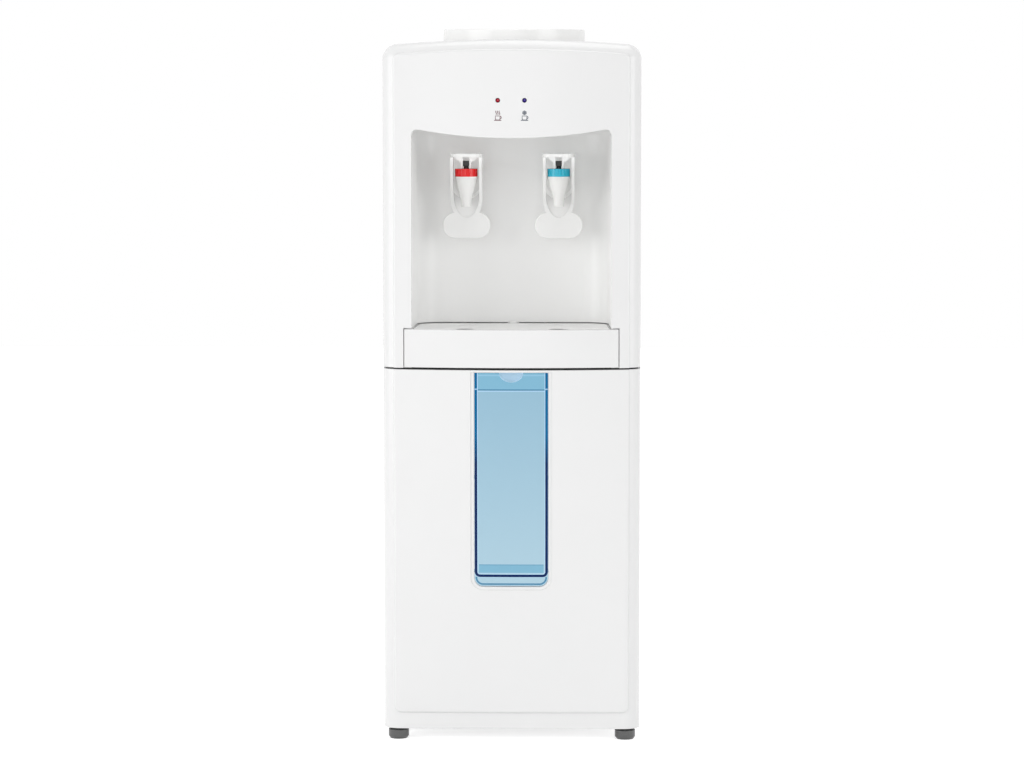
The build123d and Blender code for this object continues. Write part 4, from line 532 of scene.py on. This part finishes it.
def front_of(node):
    """A function that gives the front surface of a node in metres, as Y at an X and Z."""
    mesh = bmesh.new()
    mesh.from_mesh(NODES[node].data)
    tree = BVHTree.FromBMesh(mesh)
    mesh.free()
    start = CAD_BOX[0][1] - 0.1

    def surface(x, z):
        """The first place that a ray from the front meets."""
        hit = tree.ray_cast(Vector((x, start, z)), Vector((0, 1, 0)))[0]
        if hit is None:
            raise ValueError(f"{node} has no front at {x}, {z}")
        return hit.y

    return surface


def ribbon(mesh, points, width, surface, proud):
    """A printed line along points on a front surface, as a thin closed strip. It stands proud of
    the surface and reaches as far into it."""
    rows = []
    count = len(points)
    closed = (Vector(points[0]) - Vector(points[-1])).length < width / 10
    for i in range(count):
        before = points[i - 1] if i else (points[-2] if closed else points[0])
        after = points[i + 1] if i < count - 1 else (points[1] if closed else points[-1])
        along = (Vector(after) - Vector(before)).normalized()
        across = Vector((-along.y, along.x)) * width / 2
        row = []
        for side, lift in ((1, proud), (-1, proud), (-1, -proud), (1, -proud)):
            x, z = Vector(points[i]) + across * side
            row.append(mesh.verts.new((x, surface(x, z) - lift, z)))
        rows.append(row)
    for first, second in zip(rows, rows[1:]):
        for k in range(4):
            mesh.faces.new((first[k], first[(k + 1) % 4], second[(k + 1) % 4], second[k]))
    mesh.faces.new(rows[0])
    mesh.faces.new(rows[-1][::-1])


def arc(middle_x, middle_z, radius, start, end, steps):
    """Points along an arc, with its angles in turns."""
    angles = [tau * (start + (end - start) * i / steps) for i in range(steps + 1)]
    return [(middle_x + radius * cos(a), middle_z + radius * sin(a)) for a in angles]


# Parts of a sign as shares of its cup's width: how far the cup lies below the sign's middle, how
# far over the cup the steam or crystal stands, and how tall that is.
CUP_DROP_SHARE = 0.35
OVER_RISE_SHARE = 0.93
OVER_HEIGHT_SHARE = 0.72


def cup_lines(x, z, width):
    """The lines of a cup on its saucer, with a handle at the right, in shares of the width."""
    top = z + width * 0.36
    low = z - width * 0.36
    half = width * 0.42
    corner = width * 0.2
    bowl = [(x - half, top), (x - half, low + corner)]
    bowl += arc(x - half + corner, low + corner, corner, 0.5, 0.75, 5)
    bowl += arc(x + half - corner, low + corner, corner, 0.75, 1.0, 5)
    bowl += [(x + half, top), (x - half, top)]
    handle = arc(x + half, z + width * 0.08, width * 0.22, 0.25, -0.25, 8)
    saucer = [(x - width * 0.66, low - width * 0.07), (x + width * 0.66, low - width * 0.07)]
    return [bowl, handle, saucer]


def steam_lines(x, z, height):
    """Three wisps of steam."""
    wisps = []
    steps = 8
    for place in (-1, 0, 1):
        across = x + place * height * 0.42
        wisps.append([(across + height * 0.10 * sin(tau * i / steps),
                       z + height * (i / steps - 0.5)) for i in range(steps + 1)])
    return wisps


def crystal_lines(x, z, height):
    """A six-armed crystal in a ring of six sides."""
    radius = height / 2
    lines = [arc(x, z, radius * 0.98, 1 / 12, 13 / 12, 6)]
    for i in range(3):
        a = tau * (i / 6 + 1 / 12)
        dx, dz = radius * 0.9 * cos(a), radius * 0.9 * sin(a)
        lines.append([(x - dx, z - dz), (x + dx, z + dz)])
    return lines


def turned(mesh, profile, steps, place):
    """A closed ring turned round an axis along Y. The profile holds each point's radius and its
    height towards the front."""
    rows = []
    for i in range(steps):
        a = tau * i / steps
        rows.append([mesh.verts.new(place(r * cos(a), r * sin(a), h)) for r, h in profile])
    for i in range(steps):
        first, second = rows[i], rows[(i + 1) % steps]
        for k in range(len(profile)):
            after = (k + 1) % len(profile)
            mesh.faces.new((first[k], first[after], second[after], second[k]))


def islands(node):
    """The box of each separate solid of a node, as pairs of lowest and highest corners."""
    mesh = bmesh.new()
    mesh.from_mesh(NODES[node].data)
    bmesh.ops.remove_doubles(mesh, verts=mesh.verts, dist=1e-6)
    left = set(mesh.verts)
    boxes = []
    while left:
        todo = [left.pop()]
        seen = []
        while todo:
            vert = todo.pop()
            seen.append(vert.co.copy())
            for edge in vert.link_edges:
                other = edge.other_vert(vert)
                if other in left:
                    left.remove(other)
                    todo.append(other)
        low = Vector([min(c[k] for c in seen) for k in range(3)])
        high = Vector([max(c[k] for c in seen) for k in range(3)])
        boxes.append((low, high))
    mesh.free()
    return sorted(boxes, key=lambda pair: tuple(pair[0]))


def middle(node):
    """The middle of a node's box."""
    low, high = (Vector(corner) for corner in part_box(node))
    return (low + high) / 2


# Operators

class DressOperator(Operator):
    """Base of the operators that finish a group of pieces."""
    bl_options = {"REGISTER", "UNDO"}

    def execute(self, context):
        """Finishes the group with the scene's colours and sizes."""
        self.make(context.scene.cooler_colours, context.scene.cooler_sizes)
        return {"FINISHED"}


class CoolerShell(DressOperator):
    """Finishes the two front mouldings, the top cover and the bottle seat"""
    bl_idname = "cooler.shell"
    bl_label = "Shell"

    def make(self, colours, sizes):
        """White mouldings with softened edges."""
        white = moulding("white_moulding", colours.shell, GLOSSY, sizes.edge_round)
        dress(white, "upper_fascia", "lower_fascia", "top_cover")
        dress(moulding("collar_moulding", colours.bay, GLOSSY, sizes.edge_round), "bottle_collar")
        dress(moulding("probe_moulding", colours.bay, SATIN, sizes.edge_round), "bottle_probe")


class CoolerBay(DressOperator):
    """Finishes the tap bay, the drip tray with its grille, and the liner behind the bin"""
    bl_idname = "cooler.bay"
    bl_label = "Bay and tray"

    def make(self, colours, sizes):
        """Painted light: the bay's white is lighter than the shell's against the bay's shade, and
        the liner has a faint painted glow.
        """
        dress(moulding("bay_moulding", colours.bay, SATIN, sizes.edge_round), "tap_bay")
        # Painted glow: the liner's emission lights the bin's inside, though the liner is no lamp.
        liner = moulding("liner_moulding", colours.bay, MATT, Emission_Color=(0.9, 0.95, 1.0),
                         Emission_Strength=0.2)
        dress(liner, "bin_well")
        dress(moulding("tray_moulding", colours.shell, GLOSSY, sizes.edge_round), "drip_tray")
        dress(moulding("grille_moulding", colours.grille, SATIN, sizes.edge_round), "drip_grille")


class CoolerBin(DressOperator):
    """Finishes the tilt-out cup bin"""
    bl_idname = "cooler.cup_bin"
    bl_label = "Cup bin"

    def make(self, colours, sizes):
        """Blue by place on the pane."""
        box = [Vector(corner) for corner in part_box("cup_bin")]
        dress(bin_plastic("bin_moulding", colours, box), "cup_bin")


class CoolerTaps(DressOperator):
    """Finishes both taps"""
    bl_idname = "cooler.taps"
    bl_label = "Taps"

    def make(self, colours, sizes):
        """Milky levers and bodies, coloured rings and black stems."""
        lever_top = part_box("hot_tap_lever")[1][2]
        levers = milky("lever_moulding", colours.lever, lever_top - LEVER_WHITE_DROP)
        bodies = moulding("spout_moulding", colours.spout, GLOSSY, SMALL_EDGE)
        hot_ring = moulding("red_moulding", colours.hot, GLOSSY, FINE_EDGE)
        cold_ring = moulding("blue_moulding", colours.cold, GLOSSY, FINE_EDGE)
        stems = moulding("black_moulding", colours.black, roughness=0.35, edge=FINE_EDGE)
        seals = soft_rubber("seal_rubber", colours.rubber)
        pins = brushed("pin_steel", colours.steel, (300.0, 40.0, 40.0))
        springs = brushed("spring_steel", colours.steel, (60.0, 60.0, 900.0), roughness=0.25)
        for side, ring in (("hot", hot_ring), ("cold", cold_ring)):
            dress(levers, f"{side}_tap_lever")
            dress(bodies, f"{side}_tap_body")
            dress(ring, f"{side}_tap_ring")
            dress(stems, f"{side}_tap_stem")
            dress(seals, f"{side}_tap_seal")
            dress(pins, f"{side}_tap_pin")
            dress(springs, f"{side}_tap_spring")
        dress(bodies, "tap_nuts")


class CoolerLamps(DressOperator):
    """Finishes the lamps and their board, and makes the rings round the lamps"""
    bl_idname = "cooler.lamps"
    bl_label = "Lamps"

    def make(self, colours, sizes):
        """Lenses with a bright middle, and shallow rings on the fascia."""
        front = front_of("upper_fascia")
        ring_finish = moulding("lamp_ring_moulding", colours.shell, roughness=0.15)
        gap, sunk, inner_round, outer_round = 0.3 * MM, 0.2 * MM, 0.2 * MM, 0.4 * MM
        outer, proud = sizes.lamp_ring, sizes.lamp_ring_proud
        for node, shade in (("red_lamp", colours.red_lamp), ("blue_lamp", colours.blue_lamp)):
            place = middle(node)
            dress(lens(f"{node}_lens", shade, place.x, place.z), node)
            inner = (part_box(node)[1][0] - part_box(node)[0][0]) / 2 + gap
            mesh = bmesh.new()
            profile = [(inner, -sunk), (inner, proud * 0.6), (inner + inner_round, proud),
                       (outer - outer_round, proud), (outer, -sunk)]
            turned(mesh, profile, 48, lambda x, z, h, p=place: (
                p.x + x, front(p.x + x, p.z + z) - h, p.z + z))
            piece(f"{node}_ring", mesh, ring_finish, "root")
        dress(circuit_lacquer("board_lacquer", colours.board), "indicator_board")


class CoolerSigns(DressOperator):
    """Prints the hot and the cold sign under their lamps"""
    bl_idname = "cooler.signs"
    bl_label = "Signs"

    def make(self, colours, sizes):
        """A cup with steam, and a cup with a crystal."""
        front = front_of("upper_fascia")
        width = sizes.cup_width
        for name, lamp, shade, over in (("hot", "red_lamp", colours.hot_print, steam_lines),
                                        ("cold", "blue_lamp", colours.cold_print, crystal_lines)):
            place = middle(lamp)
            low = place.z - sizes.sign_drop - width * CUP_DROP_SHARE
            lines = cup_lines(place.x, low, width)
            lines += over(place.x, low + width * OVER_RISE_SHARE, width * OVER_HEIGHT_SHARE)
            mesh = bmesh.new()
            for line in lines:
                ribbon(mesh, line, sizes.print_line, front, sizes.print_proud)
            piece(f"{name}_sign", mesh, ink(f"{name}_ink", shade), "root")


class CoolerSheet(DressOperator):
    """Finishes the sheet body and makes the back panel's screws"""
    bl_idname = "cooler.sheet"
    bl_label = "Sheet body"

    def make(self, colours, sizes):
        """Powder coat outside, plain steel for the shelf, and cross-recessed screws."""
        coat = powder_coat("sheet_coat", colours.sheet)
        dress(coat, "side_panel_right", "side_panel_left", "back_panel", "base_pan")
        deck = brushed("deck_steel", colours.steel, (900.0, 30.0, 30.0), roughness=0.4)
        dress(deck, "mid_deck")
        dress(soft_rubber("seam_rubber", colours.rubber), "seam_gasket")
        plated = brushed("screw_steel", colours.steel, (200.0, 200.0, 200.0), roughness=0.28)
        mesh = bmesh.new()
        for low, high in islands("back_panel_screws"):
            pan_head(mesh, low, high, sizes)
        heads = piece("panel_screw_heads", mesh, plated, "root")
        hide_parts("back_panel_screws")


def pan_head(mesh, low, high, sizes):
    """A pan-head screw along Y with a cross recess, within a box."""
    centre = (low + high) / 2
    radius = (high.x - low.x) / 2
    top = high.y
    head, rim, shoulder, crown = 1.8 * MM, 0.5 * MM, 1.2 * MM, 0.1 * MM
    seat = top - head
    shank = 1.45 * MM
    part = bmesh.new()
    profile = [(shank, low.y), (shank, seat), (radius, seat), (radius, seat + rim),
               (radius * 0.9, seat + shoulder), (radius * 0.62, top - crown),
               (radius * 0.35, top)]
    steps = 24
    rows = []
    for i in range(steps):
        a = tau * i / steps
        rows.append([part.verts.new((r * cos(a), y, r * sin(a))) for r, y in profile])
    for i in range(steps):
        first, second = rows[i], rows[(i + 1) % steps]
        for k in range(len(profile) - 1):
            part.faces.new((first[k], first[k + 1], second[k + 1], second[k]))
    part.faces.new([row[0] for row in rows])
    part.faces.new([row[-1] for row in rows])
    bmesh.ops.recalc_face_normals(part, faces=part.faces)
    cut = bmesh.new()
    for turn in (0.0, tau / 4):
        reach = Matrix.Diagonal((sizes.recess, sizes.recess_depth * 2, sizes.recess_slot, 1.0))
        bmesh.ops.create_cube(cut, size=1.0, matrix=Matrix.Translation((0, top, 0))
                              @ Matrix.Rotation(turn, 4, "Y") @ reach)
    result = difference(part, cut)
    for vert in result.verts:
        vert.co += Vector((centre.x, 0, centre.z))
    data = bpy.data.meshes.new("screw")
    result.to_mesh(data)
    result.free()
    mesh.from_mesh(data)
    bpy.data.meshes.remove(data)


def difference(solid, cutter):
    """One bmesh less another, both used up."""
    objects = []
    for name, mesh in (("solid", solid), ("cutter", cutter)):
        data = bpy.data.meshes.new(name)
        mesh.to_mesh(data)
        mesh.free()
        obj = bpy.data.objects.new(name, data)
        bpy.context.scene.collection.objects.link(obj)
        objects.append(obj)
    first, second = objects
    modifier = first.modifiers.new("cut", "BOOLEAN")
    modifier.object = second
    modifier.solver = "EXACT"
    modifier.use_self = True
    depsgraph = bpy.context.evaluated_depsgraph_get()
    result = bmesh.new()
    result.from_object(first, depsgraph)
    for obj in objects:
        data = obj.data
        bpy.data.objects.remove(obj)
        bpy.data.meshes.remove(data)
    return result


class CoolerTanks(DressOperator):
    """Finishes the tanks, the hoses and the cooling block"""
    bl_idname = "cooler.tanks"
    bl_label = "Tanks and cooling"

    def make(self, colours, sizes):
        """Steel tanks in foam and a band heater, and the cooling block behind them."""
        dress(brushed("tank_steel", colours.steel, (40.0, 40.0, 800.0)), "cold_tank", "hot_tank")
        boxes = brushed("band_steel", colours.steel, (60.0, 60.0, 700.0), roughness=0.4)
        dress(boxes, "heater_band", "power_supply")
        dress(rigid_foam("tank_foam", colours.foam), "cold_tank_foam")
        dress(moulding("module_ceramic", colours.ceramic, roughness=0.5), "cooling_module")
        sink = brushed("sink_metal", colours.aluminium, (40.0, 40.0, 900.0), roughness=0.35)
        dress(sink, "heat_sink")
        hoses = soft_rubber("hose_silicone", colours.hose, roughness=0.35)
        dress(hoses, "tap_hoses", "hot_feed_hose", "drain_tube")
        dress(moulding("thermostat_moulding", colours.black, MATT), "thermostats")


class CoolerBack(DressOperator):
    """Finishes what stands on the back panel"""
    bl_idname = "cooler.back"
    bl_label = "Back fittings"

    def make(self, colours, sizes):
        """Black fan, guard and switches, and the drain's plug."""
        black = moulding("guard_moulding", colours.black, roughness=0.45, edge=SMALL_EDGE)
        dress(black, "fan_frame", "fan_rotor", "rear_grille", "switch_housings")
        dress(moulding("rocker_moulding", colours.black, GLOSSY, FINE_EDGE), "cold_rocker")
        dress(moulding("red_rocker_moulding", colours.hot, GLOSSY, FINE_EDGE), "hot_rocker")
        dress(soft_rubber("gland_rubber", colours.rubber), "cord_gland")
        plug = moulding("plug_moulding", colours.bay, roughness=0.35, edge=SMALL_EDGE)
        dress(plug, "drain_plug")


class CoolerFeet(DressOperator):
    """Finishes the levelling feet"""
    bl_idname = "cooler.feet"
    bl_label = "Feet"

    def make(self, colours, sizes):
        """Glossy black."""
        names = [name for name in NODES if name.startswith("foot_")]
        feet = moulding("foot_moulding", colours.foot, roughness=0.12, edge=0.5 * MM, IOR=1.85)
        dress(feet, *names)


WHITE = (1.0, 1.0, 1.0, 1.0)

# Each light's name in the stage's settings, its place, what it is aimed at, and its width.
LIGHTS = (
    ("key", (-3.0, -1.9, 1.15), (0, 0, 0.45), 2.6),
    ("front", (-0.6, -4.0, 1.1), (0, 0, 0.45), 2.6),
    ("fill", (2.4, -1.6, 1.0), (0, 0, 0.45), 1.6),
    ("top", (0.2, 0.3, 2.8), (0, 0, 0.6), 1.6),
)


def area_light(name, place, target, size, power):
    """A square soft light aimed at a target."""
    data = bpy.data.lights.new(name, "AREA")
    data.shape = "SQUARE"
    data.size = size
    data.energy = power
    obj = bpy.data.objects.new(name, data)
    obj.location = place
    obj.rotation_euler = (Vector(target) - Vector(place)).to_track_quat("-Z", "Y").to_euler()
    bpy.context.scene.collection.objects.link(obj)


def studio_white():
    """Floor paint: pale under the lights, and white to the camera and in reflections, where a
    part-strength glow leaves room for the cooler's shadow."""
    finish = Finish("studio_white")
    pale = finish.blend(finish.noise(scale=6.0), (0.88,) * 3, (0.91,) * 3)
    coat = finish.surface(Base_Color=pale, Roughness=0.6)
    seen = seen_directly(finish)
    glow = finish.add("ShaderNodeEmission", None, {"Color": WHITE, "Strength": 0.7})
    lit = finish.add("ShaderNodeAddShader", None, {0: coat, 1: glow})
    return finish.done(finish.add("ShaderNodeMixShader", None, {0: seen, 1: coat, 2: lit}))


def seen_directly(finish):
    """1 for rays that carry the picture: from the camera, off gloss or through glass."""
    rays = [finish.add("ShaderNodeLightPath", output=name)
            for name in ("Is Camera Ray", "Is Glossy Ray", "Is Transmission Ray")]
    both = finish.math("MAXIMUM", rays[0], rays[1])
    return finish.math("MAXIMUM", both, rays[2])


class CoolerStageSet(Operator):
    """Sets up the camera, the lights, the white surroundings and the floor"""
    bl_idname = "cooler.stage"
    bl_label = "Stage"
    bl_options = {"REGISTER", "UNDO"}

    def execute(self, context):
        """Camera as in the reference, four soft lights, and even light all round."""
        scene = context.scene
        stage = scene.cooler_stage
        data = bpy.data.cameras.new("camera")
        data.lens = stage.lens
        data.shift_x = stage.shift
        camera = bpy.data.objects.new("camera", data)
        camera.location = (stage.distance * sin(stage.yaw), -stage.distance * cos(stage.yaw),
                           stage.height)
        camera.rotation_euler = (radians(90) - stage.pitch, 0, stage.yaw)
        scene.collection.objects.link(camera)
        scene.camera = camera
        scene.view_settings.view_transform = "Standard"
        for name, place, target, size in LIGHTS:
            area_light(f"{name}_light", place, target, size, getattr(stage, name))
        self.surroundings(scene, stage.ambient)
        self.floor(stage.floor)
        return {"FINISHED"}

    def surroundings(self, scene, ambient):
        """White to the camera and in gloss, and an even pale light for the rest."""
        finish = Finish("studio", "worlds")
        strength = ambient + seen_directly(finish) * (1 - ambient)
        inputs = {"Color": WHITE, "Strength": strength}
        scene.world = finish.done(finish.add("ShaderNodeBackground", None, inputs),
                                  "ShaderNodeOutputWorld")

    def floor(self, width):
        """One pale square under the feet."""
        mesh = bmesh.new()
        bmesh.ops.create_grid(mesh, x_segments=1, y_segments=1, size=width / 2)
        data = bpy.data.meshes.new("studio_floor")
        mesh.to_mesh(data)
        mesh.free()
        data.materials.append(studio_white())
        obj = bpy.data.objects.new("studio_floor", data)
        bpy.context.scene.collection.objects.link(obj)


STEPS = (CoolerStageSet, CoolerShell, CoolerBay, CoolerBin, CoolerTaps, CoolerLamps, CoolerSigns,
         CoolerSheet, CoolerTanks, CoolerBack, CoolerFeet)


class CoolerPanel(Panel):
    """Lists the cooler's steps in the sidebar"""
    bl_idname = "VIEW3D_PT_cooler"
    bl_label = "Water Cooler"
    bl_space_type = "VIEW_3D"
    bl_region_type = "UI"
    bl_category = "Cooler"

    def draw(self, context):
        """One button for each step."""
        for step in STEPS:
            self.layout.operator(step.bl_idname)


GROUPS = {"cooler_colours": CoolerColours, "cooler_sizes": CoolerSizes, "cooler_stage": CoolerStage}
CLASSES = (*GROUPS.values(), *STEPS, CoolerPanel)


def register():
    """Registers the classes and puts the settings on the scene."""
    for cls in CLASSES:
        bpy.utils.register_class(cls)
    for name, group in GROUPS.items():
        setattr(bpy.types.Scene, name, PointerProperty(type=group))


def unregister():
    """Takes the settings and the classes away again."""
    for name in GROUPS:
        delattr(bpy.types.Scene, name)
    for cls in reversed(CLASSES):
        bpy.utils.unregister_class(cls)


def main():
    """Dresses the cooler step by step."""
    register()
    for step in STEPS:
        group, name = step.bl_idname.split(".")
        getattr(getattr(bpy.ops, group), name)()


if __name__ == "__main__":
    main()
